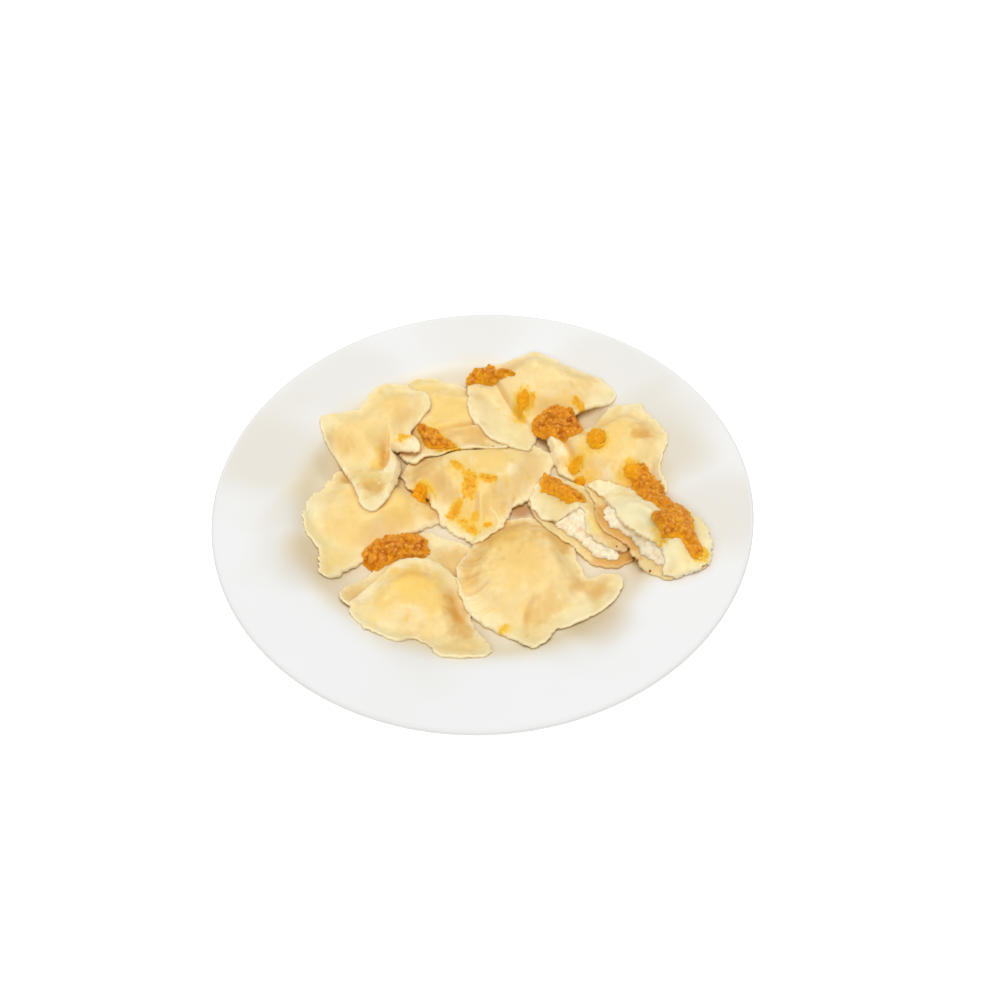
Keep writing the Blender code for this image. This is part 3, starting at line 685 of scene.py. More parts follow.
def mound(points, x, y, half_length, half_width, turn, spread=1.0):
    """1 in the middle of a turned ellipse, down to 0 at its edge, as (1 - square of the radius)."""
    angle = math.radians(turn)
    half_length, half_width = spread * half_length, spread * half_width
    along = (points[:, 0] - x) * math.cos(angle) + (points[:, 1] - y) * math.sin(angle)
    aside = (points[:, 1] - y) * math.cos(angle) - (points[:, 0] - x) * math.sin(angle)
    return np.clip(1.0 - (along / half_length) ** 2 - (aside / half_width) ** 2, 0.0, None)


def lift_height(points, lifts):
    """Sum of the soft rises at the places where the dough stands up."""
    total = np.zeros(len(points))
    for x, y, height, spread in lifts:
        square = (points[:, 0] - x) ** 2 + (points[:, 1] - y) ** 2
        total += height * np.exp(-0.5 * square / spread**2)
    return total


# ---------------------------------------------------------------------------- laying on the plate


def plate_upper():
    """Radius and height along the plate's upper side, from the axis to where the rim rounds over."""
    return rounded_profile([(0.0, FLOOR_HEIGHT)] + PLATE_UPPER + [(133.0, 25.7)], 1.0, 24)


def rounded_profile(corners, spacing, passes):
    """The profile with its corners eased: points spacing apart, averaged with their neighbours."""
    line = np.array(corners, float)
    length = np.cumsum(np.hypot(*np.diff(line, axis=0).T))[-1]
    fine = evenly(line, int(length / spacing) + 1, closed=False)
    for _ in range(passes):
        fine[1:-1] = 0.25 * fine[:-2] + 0.5 * fine[1:-1] + 0.25 * fine[2:]
    return fine


class HeightMap:
    """Square map of the height of everything laid so far, one value for each cell."""

    def __init__(self):
        line = np.arange(-MAP_HALF, MAP_HALF + CELL / 2, CELL)
        self.x, self.y = np.meshgrid(line, line)
        profile = plate_upper()
        self.height = np.interp(np.hypot(self.x, self.y), profile[:, 0], profile[:, 1])
        self.uppermost = np.zeros(self.x.shape, int)
        self.count = 0

    def on_top(self, places):
        """The plan places with the height of whatever lies uppermost there."""
        column, row = np.rint((places + MAP_HALF) / CELL).astype(int).T
        return np.column_stack([places, self.height[row, column]])


def blurred(values, spread):
    """Gaussian average of a map over the spread, worked out on its Fourier series."""
    rows, columns = (np.fft.fftfreq(count, CELL) for count in values.shape)
    columns = columns[: values.shape[1] // 2 + 1] ** 2
    gain = np.exp(-2.0 * (math.pi * spread) ** 2 * (rows[:, None] ** 2 + columns))
    return np.fft.irfft2(np.fft.rfft2(values) * gain, values.shape)


def settled(support, covered, stiffness):
    """Height of the underside of a limp sheet laid on the support over the covered cells.

    The sheet is averaged over its stiffness and let down by its sag, again and again, and each
    time it is pushed back above what it lies on.
    """
    weight = covered.astype(float)
    weight_blurred = np.maximum(blurred(weight, stiffness), 1e-3)
    sheet = support * weight
    for _ in range(SETTLING_STEPS):
        average = blurred(sheet * weight, stiffness) / weight_blurred
        sheet = np.where(covered, np.maximum(support, average - SAG), 0.0)
    return sheet


def shade_from_taller(ground, points, number, reaches, rise):
    """How much taller the things laid after a piece stand round its points, 0 to 1.

    It is the mean over rings of places of those reaches, where rise counts as full shade. It is painted
    as shade on the dough and on the plate.
    """
    total = np.zeros(len(points))
    last = len(ground.height) - 1
    for ring, reach in enumerate(reaches):
        for turn in np.linspace(0.0, 2.0 * math.pi, 8, endpoint=False) + 0.4 * ring:
            place = points[:, :2] + reach * np.array([math.cos(turn), math.sin(turn)])
            column, row = np.clip(np.rint((place + MAP_HALF) / CELL).astype(int), 0, last).T
            taller = ground.height[row, column] - points[:, 2] - SHADE_MARGIN
            total += np.clip(taller / rise, 0.0, 1.0) * (ground.uppermost[row, column] > number)
    return total / (8 * len(reaches))


class Laid:
    """A soft piece laid on the map: its plan outline and the heights of its two sides.

    levels(points, inward, broad, low, eased) gives the heights of the upper side and of the
    underside, from how far inside the outline each point is, the same averaged, from the height of
    the sheet that has settled on what lies below, and the same averaged. The piece is written into
    the map.
    """

    def __init__(self, ground, loop, levels, stiffness=DOUGH_STIFFNESS, softness=TOP_SOFTNESS):
        self.loop, self.levels = loop, levels
        low = np.floor((loop.min(axis=0) - MAP_MARGIN + MAP_HALF) / CELL).astype(int)
        high = 2 * np.ceil((loop.max(axis=0) + MAP_MARGIN - loop.min(axis=0) + MAP_MARGIN) / CELL / 2)
        high = low + high.astype(int)
        window = np.s_[low[1] : high[1], low[0] : high[0]]
        self.corner = np.array([ground.x[window][0, 0], ground.y[window][0, 0]])
        cells = np.column_stack([ground.x[window].ravel(), ground.y[window].ravel()])
        shape = ground.x[window].shape
        self.reach = inward_distance(cells, loop[::2]).reshape(shape)
        covered = self.reach > -2.0 * CELL
        support = ground.height[window] + GAP
        self.low = settled(support, covered, stiffness)
        near_rim = np.exp(-np.clip(self.reach, 0.0, None) / DROOP_REACH) * covered
        self.low = self.low - near_rim * np.minimum(self.low - support, DROOP)
        weight = np.maximum(blurred(covered.astype(float), softness), 1e-3)
        self.eased = blurred(self.low * covered, softness) / weight
        self.broad = blurred(np.clip(self.reach, 0.0, None), REACH_SOFTNESS)
        inside = self.reach.ravel() > 0.0
        upper, _ = self.heights(cells[inside], self.reach.ravel()[inside])
        patch = ground.height[window].ravel()
        patch[inside] = np.maximum(patch[inside], upper)
        ground.height[window] = patch.reshape(shape)
        ground.count += 1
        ground.uppermost[window][inside.reshape(shape)] = ground.count
        self.number = ground.count

    def read(self, values, points):
        """Values of one of the piece's maps at the points, bilinear between its cells."""
        place = (points - self.corner) / CELL
        low = np.floor(place).astype(int)
        right, up = np.moveaxis(place - low, -1, 0)
        column, row = np.moveaxis(low, -1, 0)
        lower = values[row, column] * (1 - right) + values[row, column + 1] * right
        upper = values[row + 1, column] * (1 - right) + values[row + 1, column + 1] * right
        return lower * (1 - up) + upper * up

    def heights(self, points, inward):
        """Heights of the upper side and of the underside at plan points."""
        broad, low, eased = (self.read(values, points) for values in (self.broad, self.low, self.eased))
        return self.levels(points, inward, broad, low, eased)

    def inward(self, points):
        """How far inside the outline the points are: off the map, but near the rim worked out anew."""
        far = self.read(self.reach, points)
        near = np.flatnonzero(np.abs(far) < 1.6)
        far[near] = inward_distance(points[near], self.loop)
        return far

    def surface(self, spacing, under_spacing=2.0, rim_rows=(0.12, 0.35, 0.7)):
        """Points, triangles and inward distances of the closed piece.

        The upper side stands over an even grid of plan points, closer together in the rows along
        the rim, the underside over a coarser grid, and both share the outline's points.
        """
        above, inward_above = self.plan(spacing, rim_rows)
        below, inward_below = self.plan(under_spacing, rim_rows[1:])
        count = len(self.loop)
        plan_above = np.vstack([self.loop, above])
        plan_below = np.vstack([self.loop, below])
        upper, _ = self.heights(above, inward_above)
        _, under = self.heights(below, inward_below)
        edge = 0.5 * sum(self.heights(self.loop, np.zeros(count)))
        top_faces = triangles_inside(plan_above, count)
        under_faces = triangles_inside(plan_below, count)
        under_faces = np.where(under_faces < count, under_faces, under_faces + len(above))
        points = np.column_stack([np.vstack([plan_above, below]), np.concatenate([edge, upper, under])])
        inward = np.concatenate([np.zeros(count), inward_above, inward_below])
        return points, np.vstack([top_faces, under_faces[:, ::-1]]), inward

    def plan(self, spacing, rim_rows):
        """Plan points inside the loop, and how far: rows beside it, and a three-way grid elsewhere."""
        along = np.roll(self.loop, -1, axis=0) - np.roll(self.loop, 1, axis=0)
        inside = np.column_stack([-along[:, 1], along[:, 0]])
        inside /= np.linalg.norm(inside, axis=1, keepdims=True)
        low, high = self.loop.min(axis=0), self.loop.max(axis=0)
        x, y = np.meshgrid(
            np.arange(low[0], high[0], spacing), np.arange(low[1], high[1], spacing * THREE_WAY)
        )
        x = x + 0.5 * spacing * (np.arange(len(y)) % 2)[:, None]
        grid = np.column_stack([x.ravel(), y.ravel()])
        grid += 0.08 * spacing * np.column_stack([waves(grid, 3.0, 5), waves(grid, 3.0, 6)])
        groups = [(grid, rim_rows[-1] + 0.6 * spacing)]
        for row, depth in enumerate(rim_rows):
            beside = self.loop + depth * inside
            groups.append((beside[row % 2 :: 1 + row // 2], 0.8 * depth))
        kept = [(points, self.inward(points), least) for points, least in groups]
        kept = [(points[inward > least], inward[inward > least]) for points, inward, least in kept]
        return np.vstack([group[0] for group in kept]), np.concatenate([group[1] for group in kept])


def triangles_inside(plan, count):
    """Delaunay triangles over the plan points, inside the loop that the first count points make."""
    edges = [(point, (point + 1) % count) for point in range(count)]
    found = delaunay_2d_cdt(plan.tolist(), edges, [], 1, 1e-6)
    if len(found[0]) != len(plan):
        raise ValueError(f"the outline crosses itself: {len(found[0]) - len(plan)} points added")
    faces = np.array(found[2], int)
    corners = plan[faces]
    across = corners[:, 1] - corners[:, 0]
    onward = corners[:, 2] - corners[:, 0]
    clockwise = across[:, 0] * onward[:, 1] - across[:, 1] * onward[:, 0] < 0.0
    faces[clockwise] = faces[clockwise][:, ::-1]
    return faces


def ragged(points, count, roughness, seed):
    """Closed outline with an uneven edge: waves of three lengths push it in and out."""
    loop = closed_curve(points, count)
    along = np.roll(loop, -1, axis=0) - np.roll(loop, 1, axis=0)
    out = np.column_stack([along[:, 1], -along[:, 0]])
    out /= np.linalg.norm(out, axis=1, keepdims=True)
    push = 0.9 * waves(loop, 12.0, seed) + 0.8 * waves(loop, 5.5, seed + 1)
    push += 0.5 * waves(loop, 2.6, seed + 2)
    return loop + roughness * push[:, None] * out


# -------------------------------------------------------------------------------------- materials


def colour(code):
    """Linear red, green, blue and alpha of an sRGB hex code."""
    parts = [int(code[place : place + 2], 16) / 255.0 for place in (1, 3, 5)]
    linear = [part / 12.92 if part <= 0.04045 else ((part + 0.055) / 1.055) ** 2.4 for part in parts]
    return (*linear, 1.0)


def add(tree, kind, settings=None, links=None):
    """Adds a node: settings are its own properties or the values of its inputs, links its sources."""
    node = tree.nodes.new("ShaderNode" + kind)
    for key, value in (settings or {}).items():
        if isinstance(key, str) and hasattr(node, key):
            setattr(node, key, value)
        else:
            node.inputs[key].default_value = value
    for key, source in (links or {}).items():
        tree.links.new(source, node.inputs[key])
    return node


def new_material(name, settings):
    """Material with one Principled shader, and its tree, shader and millimetre coordinates."""
    made = bpy.data.materials.new(name)
    made.use_nodes = True
    tree = made.node_tree
    shader = tree.nodes["Principled BSDF"]
    for key, value in settings.items():
        shader.inputs[key].default_value = value
    place = add(tree, "TexCoord").outputs["Object"]
    scale = (1.0 / MM,) * 3
    place = add(tree, "Mapping", {"Scale": scale}, {"Vector": place}).outputs["Vector"]
    return made, tree, shader, place


COLOUR_FACTOR, COLOUR_A, COLOUR_B, COLOUR_RESULT = 0, 6, 7, 2


def blend(tree, factor, first, second, how="MIX"):
    """Colour between the first and the second by the factor: each is a value or a node's output."""
    settings, links = {"data_type": "RGBA", "blend_type": how}, {}
    for key, value in ((COLOUR_FACTOR, factor), (COLOUR_A, first), (COLOUR_B, second)):
        if isinstance(value, bpy.types.NodeSocket):
            links[key] = value
        else:
            settings[key] = value
    return add(tree, "Mix", settings, links).outputs[COLOUR_RESULT]


def mask(tree, name):
    """One of the piece's own masks."""
    return add(tree, "Attribute", {"attribute_name": name}).outputs["Fac"]


def noise(tree, place, size, detail, distortion=0.0):
    """Random clouds, 0 to 1, of about that size in millimetres."""
    settings = {"Scale": 1 / size, "Detail": detail, "Distortion": distortion}
    return add(tree, "TexNoise", settings, {"Vector": place}).outputs["Fac"]


def cell_distance(tree, place, size):
    """Distance from the middle of the nearest of many random cells of that size in millimetres."""
    return add(tree, "TexVoronoi", {"Scale": 1 / size}, {"Vector": place}).outputs["Distance"]


def remapped(tree, value, start, end, low=0.0, high=1.0):
    """The value moved from the range start to end into the range low to high, and kept inside it."""
    settings = {"From Min": start, "From Max": end, "To Min": low, "To Max": high}
    return add(tree, "MapRange", settings, {"Value": value}).outputs["Result"]


def combined(tree, how, first, second):
    """Two values combined by a Math node."""
    return add(tree, "Math", {"operation": how}, {0: first, 1: second}).outputs["Value"]


def dimmed(tree, base, factor):
    """The colour with its red, green and blue multiplied by the factor."""
    grey = add(tree, "CombineColor", {}, {0: factor, 1: factor, 2: factor}).outputs["Color"]
    return blend(tree, 1.0, base, grey, "MULTIPLY")


def roughened(tree, shader, layers):
    """Fine relief on the skin, one layer on another.

    Each layer has its heights, strength, depth in millimetres and whether it is turned inside out.
    """
    normal = None
    for height, strength, depth, inverted in layers:
        settings = {"Strength": strength, "Distance": depth * MM, "invert": inverted}
        links = {"Height": height}
        if normal is not None:
            links["Normal"] = normal
        normal = add(tree, "Bump", settings, links).outputs["Normal"]
    tree.links.new(normal, shader.inputs["Normal"])


def boiled_wheat_dough():
    """Boiled wheat dough: rolled, pressed shut and cooked in water.

    It is cream, a little see-through at its thin rim, yellow where melted fat has soaked in and tan
    where it is dense. Some tan patches are painted shade and some pale ones painted highlights, the
    deep grooves are painted darker, partly fat and partly shade, and painted shade browns it where
    taller food stands close round it. Its skin is moist, so it has a soft sheen, and finely uneven.
    """
    made, tree, shader, place = new_material("boiled_wheat_dough", {
        "Roughness": 0.45,
        "IOR": 1.38,
        "Subsurface Weight": 0.45,
        "Subsurface Radius": (1.0, 0.7, 0.34),
        "Subsurface Scale": 3.4 * MM,
        "Coat Weight": 0.1,
        "Coat Roughness": 0.3,
        "Specular Tint": colour("#FFEBC4"),
    })
    crease, soaked = mask(tree, "crease"), mask(tree, "soaked")
    base = blend(tree, noise(tree, place, 16.0, 2.0), colour("#EFD393"), colour("#F4DEA6"))
    # Tan patches: partly denser dough and partly painted shade.
    base = blend(tree, mask(tree, "tan_and_shade"), base, colour("#DFB365"))
    # Pale patches: partly paler dough and partly painted highlights.
    base = blend(tree, mask(tree, "pale"), base, colour("#F9E8BC"))
    base = blend(tree, mask(tree, "butter"), base, colour("#F3CC6A"))
    # Deep grooves painted darker: partly fat gathered there and partly painted shade.
    base = blend(tree, crease, base, colour("#D8942C"))
    base = blend(tree, mask(tree, "rim"), base, colour("#FDEBC8"))
    base = blend(tree, remapped(tree, soaked, 0.0, 0.5), base, colour("#F0C440"))
    clots = remapped(tree, noise(tree, place, 2.6, 2.0), 0.38, 0.58, 0.45, 1.0)
    rich = combined(tree, "MULTIPLY", remapped(tree, soaked, 0.35, 1.0), clots)
    base = blend(tree, rich, base, colour("#EE9C00"))
    # Painted shade: browner where taller food stands close round the dough.
    close = remapped(tree, mask(tree, "beside"), 0.1, 0.6, 0.0, 0.65)
    base = blend(tree, close, base, colour("#CC8A38"))
    base = dimmed(tree, base, remapped(tree, noise(tree, place, 5.0, 3.0), 0.3, 0.7, 0.965, 1.02))
    tree.links.new(base, shader.inputs["Base Color"])
    depth = remapped(tree, combined(tree, "MAXIMUM", rich, crease), 0.0, 1.0, 0.45, 0.1)
    tree.links.new(depth, shader.inputs["Subsurface Weight"])
    roughened(tree, shader, [
        (noise(tree, place, 3.0, 3.0, 0.6), 0.2, 0.35, False),
        (noise(tree, place, 0.9, 2.0), 0.15, 0.12, False),
    ])
    return made


def fried_onion():
    """Onion chopped fine and fried in fat: soft translucent grains, golden to brown, wet with fat."""
    made, tree, shader, place = new_material("fried_onion", {
        "Roughness": 0.27,
        "IOR": 1.42,
        "Subsurface Weight": 0.2,
        "Subsurface Radius": (1.0, 0.5, 0.15),
        "Subsurface Scale": 1.6 * MM,
        "Specular Tint": colour("#FFD48C"),
    })
    cloud, bits = noise(tree, place, 5.0, 4.0), cell_distance(tree, place, 1.3)
    # The grain mask makes the mash golden on the tops of its lumps and brown in the hollows between them,
    # painted light and shade; the loose grains get their own random tone from it.
    base = blend(tree, mask(tree, "grain"), colour("#BA5E00"), colour("#F0A942"))
    base = blend(tree, remapped(tree, cloud, 0.46, 0.62, 0.0, 0.75), base, colour("#E48E18"))
    base = blend(tree, remapped(tree, cloud, 0.44, 0.34, 0.0, 0.6), base, colour("#B25A04"))
    base = blend(tree, mask(tree, "fresh"), base, colour("#F6AC0C"))
    # Painted shade: a little darker towards the edges of the small cells, in the hollows of the bump.
    base = dimmed(tree, base, remapped(tree, bits, 0.1, 0.75, 1.03, 0.95))
    tree.links.new(base, shader.inputs["Base Color"])
    roughened(tree, shader, [(bits, 0.2, 0.2, True)])
    return made


def cooked_filling():
    """Cooked minced filling, pressed inside the dough: pale, crumbly, with pinkish bits."""
    made, tree, shader, place = new_material("cooked_filling", {
        "Roughness": 0.6,
        "IOR": 1.4,
        "Subsurface Weight": 0.5,
        "Subsurface Radius": (1.0, 0.7, 0.45),
        "Subsurface Scale": 3.0 * MM,
    })
    crumb = cell_distance(tree, place, 1.1)
    pink = remapped(tree, noise(tree, place, 4.5, 3.0), 0.48, 0.72)
    base = blend(tree, pink, colour("#FBEFD2"), colour("#F5D6B4"))
    # Painted shade: darker towards the edges of the crumbs, in the hollows between them.
    base = blend(tree, remapped(tree, crumb, 0.4, 0.85, 0.0, 0.25), base, colour("#DDB894"))
    tree.links.new(base, shader.inputs["Base Color"])
    roughened(tree, shader, [(crumb, 0.5, 0.3, True)])
    return made


def red_pepper():
    """Dried red pepper, crushed to flecks: dull dark red."""
    made, _, _, _ = new_material("red_pepper", {"Base Color": colour("#B8321C"), "Roughness": 0.5})
    return made


def melted_fat():
    """Melted butter and frying fat: clear yellow drops with a wet shine."""
    made, _, _, _ = new_material("melted_fat", {
        "Base Color": colour("#F8D84E"),
        "Roughness": 0.08,
        "IOR": 1.46,
        "Transmission Weight": 0.1,
        "Subsurface Weight": 0.2,
        "Subsurface Radius": (1.0, 0.7, 0.2),
        "Subsurface Scale": 1.5 * MM,
    })
    return made


def glazed_porcelain():
    """White porcelain, shaped by turning and dipped in clear glaze: smooth, with a soft shine.

    The well is painted a little warmer than the clean rim, as light reflected from the food, and painted
    shade warms and darkens the white where food stands close beside it, in the gaps between the food
    and on the walls of the well, and greys the outer edge of the rim. The foot is bare.
    """
    made, tree, shader, place = new_material("glazed_porcelain", {
        "Roughness": 0.45,
        "IOR": 1.5,
        "Coat Weight": 0.06,
        "Coat Roughness": 0.25,
    })
    beside, bare = mask(tree, "beside"), mask(tree, "bare")
    base = blend(tree, noise(tree, place, 60.0, 2.0), colour("#E7E8E8"), colour("#EBECEE"))
    # The well painted warmer, as light reflected from the food.
    base = blend(tree, mask(tree, "wet"), base, colour("#EADFC4"))
    # Painted shade: warmer and darker where taller food stands close beside the plate.
    base = blend(tree, remapped(tree, beside, 0.04, 0.6, 0.0, 0.7), base, colour("#D2AB60"))
    base = blend(tree, remapped(tree, beside, 0.4, 0.9, 0.0, 0.7), base, colour("#B87E28"))
    # Painted warm shade on the walls of the well and in front of the dumplings.
    base = blend(tree, mask(tree, "warm_shade"), base, colour("#C1A85D"))
    # Painted shade, warm brown, in the gaps between the dumplings.
    base = blend(tree, mask(tree, "gap_shade"), base, colour("#B87F3A"))
    # Painted shade greying the outer edge of the rim.
    base = blend(tree, mask(tree, "edge_shade"), base, colour("#CFCFD0"))
    base = blend(tree, bare, base, colour("#D9D2C4"))
    tree.links.new(base, shader.inputs["Base Color"])
    tree.links.new(remapped(tree, bare, 0.0, 1.0, 0.45, 0.8), shader.inputs["Roughness"])
    roughened(tree, shader, [(noise(tree, place, 25.0, 1.0), 0.1, 0.5, False)])
    return made


# ----------------------------------------------------------------------------------------- pieces


def add_piece(name, points, faces, finish, masks=None):
    """Smooth object from points in millimetres and triangles, with masks as vertex attributes."""
    mesh = bpy.data.meshes.new(name)
    mesh.from_pydata((points * MM).tolist(), [], faces.tolist())
    for label, values in (masks or {}).items():
        layer = mesh.attributes.new(label, "FLOAT", "POINT")
        layer.data.foreach_set("value", np.asarray(values, np.float32))
    mesh.attributes.new("beside", "FLOAT", "POINT")
    mesh.materials.append(finish)
    mesh.shade_smooth()
    piece = bpy.data.objects.new(name, mesh)
    bpy.context.scene.collection.objects.link(piece)
    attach(piece, "root")
    return piece


def add_painted_shade(pieces, ground):
    """Writes the painted shade of each point of the dough and of the plate: how closely it stands under
    taller things.
    """
    for piece, number in pieces:
        mesh = piece.data
        points = np.empty(3 * len(mesh.vertices), np.float32)
        mesh.vertices.foreach_get("co", points)
        points = points.reshape(-1, 3) / MM
        is_plate = piece.name == "porcelain_plate"
        reaches, rise = PLATE_SHADE_RINGS if is_plate else DOUGH_SHADE_RINGS
        beside = shade_from_taller(ground, points, number, reaches, rise)
        if is_plate:
            bare_top = np.interp(np.hypot(points[:, 0], points[:, 1]), *plate_upper().T)
            beside = beside * (points[:, 2] > bare_top - 0.5)
        mesh.attributes["beside"].data.foreach_set("value", beside.astype(np.float32))


def turned(profile, start, end, turns):
    """Points and triangles of a profile of radii and heights turned once round the axis.

    Single points on the axis, at the heights start and end, close it. The faces look outward when
    the profile runs out from the upper end and comes back at the lower one.
    """
    turn = np.linspace(0.0, 2.0 * math.pi, turns, endpoint=False)
    radius, height = profile[:, 0, None], profile[:, 1, None]
    rings = np.stack([radius * np.cos(turn), radius * np.sin(turn), height + 0.0 * turn], axis=-1)
    points = np.vstack([rings.reshape(-1, 3), [(0, 0, start), (0, 0, end)]])
    row, step = np.meshgrid(np.arange(len(profile) - 1), np.arange(turns), indexing="ij")
    here, after = row * turns + step, row * turns + (step + 1) % turns
    first, second = step[0], (step[0] + 1) % turns
    last = (len(profile) - 1) * turns
    faces = np.vstack([
        np.stack([here, here + turns, after + turns], axis=-1).reshape(-1, 3),
        np.stack([here, after + turns, after], axis=-1).reshape(-1, 3),
        np.column_stack([np.full(turns, len(points) - 2), first, second]),
        np.column_stack([np.full(turns, len(points) - 1), last + second, last + first]),
    ])
    return points, faces


def add_plate(finish):
    """The plate: its profile, from the axis over the rim to the foot and back, turned once round."""
    foot_inner = FOOT_RADIUS - FOOT_WIDTH
    upper = plate_upper()
    under = rounded_profile(PLATE_UNDER + [(FOOT_RADIUS + 1.2, FOOT_RECESS)], 1.5, 6)
    foot = [(FOOT_RADIUS + 0.4, 0.5), (FOOT_RADIUS, 0.0), (foot_inner, 0.0), (foot_inner - 0.4, 0.5)]
    recess = [(foot_inner - 1.2, FOOT_RECESS), (30.0, FOOT_RECESS)]
    profile = np.vstack([upper[1:], PLATE_EDGE, under, foot, recess])
    points, faces = turned(profile, upper[0, 1], FOOT_RECESS, PLATE_TURNS)
    away = np.hypot(points[:, 0], points[:, 1])
    upper_side = np.arange(len(points)) < (len(upper) - 1) * PLATE_TURNS
    # The warmer well is painted warm light, as reflected from the food.
    bounce_edge = BOUNCE_RADIUS + 1.5 * waves(points[:, :2], 40.0, 9)
    wet = upper_side * smoothstep((bounce_edge - away) / BOUNCE_WIDTH)
    plate = add_piece("porcelain_plate", points, faces, finish, {
        "bare": (points[:, 2] < 0.3).astype(float),
        "wet": 0.8 * wet,
        # Painted shade: the gaps beside the food, the walls of the well and the outer edge of the rim.
        "gap_shade": upper_side * spots(points[:, :2], GAP_SHADE_PATCHES, 8, 12.0),
        "warm_shade": upper_side * spots(points[:, :2], WARM_SHADE_PATCHES, 9, 12.0),
        "edge_shade": 0.7 * smoothstep((away - EDGE_SHADE_RADIUS) / EDGE_SHADE_WIDTH),
    })
    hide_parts("plate")
    return plate, 0


def dough_masks(points, inward, sizes, seed):
    """Colour masks of the dough: rim, soaked patches, tan ones that are partly painted shade, pale ones
    that are partly painted highlights, and the grooves' painted shade.
    """
    plan = points[:, :2]
    uneven = 1.0 + 0.25 * waves(plan, 7.0, seed)
    return {
        "rim": 0.85 * np.exp(-np.clip(inward, 0.0, None) / (1.8 * uneven)),
        "butter": spots(plan, sizes["butter"], seed + 10),
        "tan_and_shade": spots(plan, sizes["tan_and_shade"], seed + 20),
        "pale": spots(plan, sizes["pale"], seed + 30),
        "crease": groove_fat_and_shade(plan, sizes["folds"]),
        "soaked": stain_mask(plan, seed + 40),
    }


def dough_levels(sizes, seed, sheet=SHEET, rounding=RIM_ROUNDING, filled=True):
    """Heights of a dough sheet's two sides.

    The sheet rounds over to a thin rim. The upper side has the filled belly, the folds and slow
    uneven waves. The rim rises and falls in short waves, and the dough stands up at its lifts.
    """

    def levels(points, inward, broad, low, eased):
        depth = np.clip(inward, 0.0, None)
        edge = np.sqrt(1.0 - (1.0 - np.clip(depth / rounding, 0.0, 1.0)) ** 2)
        ruffle = np.clip(waves(points, 12.0, seed + 3) - 0.2, 0.0, None) * 0.35 * np.exp(-depth / 3.0)
        base = low + lift_height(points, sizes["lifts"]) + ruffle
        under = base + RIM_MIDDLE * (1.0 - edge)
        slow = 0.22 * waves(points, 18.0, seed + 4) + 0.07 * waves(points, 8.0, seed + 5)
        slow += 0.02 * waves(points, 3.6, seed + 6)
        relief = slow + fold_relief(points, sizes["folds"]) + STAIN_HEIGHT * stain_mask(points, seed + 40)
        if filled:
            *ellipse, height = sizes["belly"]
            swell = smoothstep(mound(points, *ellipse, BELLY_SPREAD))
            relief = relief + height * swell * smoothstep((broad - 0.8) / FOLD_WIDTH)
        calm = smoothstep(depth / 3.0)
        skin = base + RIM_MIDDLE + (sheet - RIM_MIDDLE) * edge
        top = skin + (eased - low) * calm + relief * smoothstep(depth / 2.0)
        return np.maximum(top, skin - 0.5 * sheet * edge), under

    return levels


def add_dumpling(name, ground, finish, seed):
    """One whole dumpling, laid on the map."""
    sizes = DUMPLINGS[name]
    loop = ragged(sizes["outline"], DOUGH_ROUND, sizes["rough"], seed)
    laid = Laid(ground, loop, dough_levels(sizes, seed))
    points, faces, inward = laid.surface(DOUGH_SPACING)
    piece = add_piece(name + "_dough", points, faces, finish, dough_masks(points, inward, sizes, seed))
    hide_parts(name)
    return [(piece, laid.number)]


def filling_levels(sizes):
    """Heights of the filling: a low edge, a steep crumbly face and the rounded belly."""
    *ellipse, height = sizes["belly"]

    def levels(points, inward, broad, low, eased):
        depth = np.clip(inward, 0.0, None)
        rise = height * np.clip(mound(points, *ellipse), 0.12, None) ** 0.45
        face = np.clip(depth / sizes["slope"], 0.0, 1.0) ** 0.85
        top = low + FILLING_EDGE * np.sqrt(np.clip(depth / 0.8, 0.0, 1.0)) + rise * face
        return top, low + 0.0 * depth

    return levels


def add_half(name, ground, dough, filling, seed):
    """One half of the cut dumpling: bottom dough, filling and top dough, laid one on another."""
    sizes = HALVES[name]
    lower = Laid(
        ground, ragged(sizes["outline"], DOUGH_ROUND, 0.3, seed),
        dough_levels(sizes | {"folds": []}, seed, CUT_SHEET, LOWER_ROUNDING, filled=False),
    )
    points, faces, inward = lower.surface(DOUGH_SPACING)
    masks = dough_masks(points, inward, sizes | {"butter": [], "pale": []}, seed)
    # The lower sheet's darker patches: partly darker dough and partly painted shade under the upper sheet;
    # the same patches give it the painted groove shade.
    masks["tan_and_shade"] = np.clip(0.25 + spots(points[:, :2], sizes["under_shade_and_tan"], seed + 7), 0.0, 1.0)
    masks["crease"] = 0.7 * spots(points[:, :2], sizes["under_shade_and_tan"], seed + 7)
    masks["rim"] *= 0.35
    bottom = add_piece(name + "_bottom_dough", points, faces, dough, masks)
    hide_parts(name)

    inner = Laid(
        ground, ragged(sizes["filling"], FILLING_ROUND, 0.5, seed + 50), filling_levels(sizes),
        stiffness=2.0,
    )
    points, faces, inward = inner.surface(FILLING_SPACING)
    crumbs = 0.45 * (lumps(points, 3.4, seed) - 0.5) + 0.3 * (lumps(points, 1.3, seed + 1) - 0.5)
    crumbs += 0.25 * waves(points, 4.0, seed + 2)
    points = points + crumbs[:, None] * smoothstep(inward / 1.5)[:, None] * face_directions(points, faces)
    piece = add_piece(name + "_filling", points, faces, filling)
    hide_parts(name)

    upper = Laid(
        ground, ragged(sizes["top"], DOUGH_ROUND, 0.35, seed + 60),
        dough_levels(sizes | {"lifts": []}, seed + 60, CUT_SHEET, UPPER_ROUNDING, filled=False),
        stiffness=2.2, softness=1.0,
    )
    points, faces, inward = upper.surface(DOUGH_SPACING)
    masks = dough_masks(points, inward, sizes, seed + 60)
    top = add_piece(name + "_top_dough", points, faces, dough, masks)
    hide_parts(name)
    return [(bottom, lower.number), (top, upper.number)]


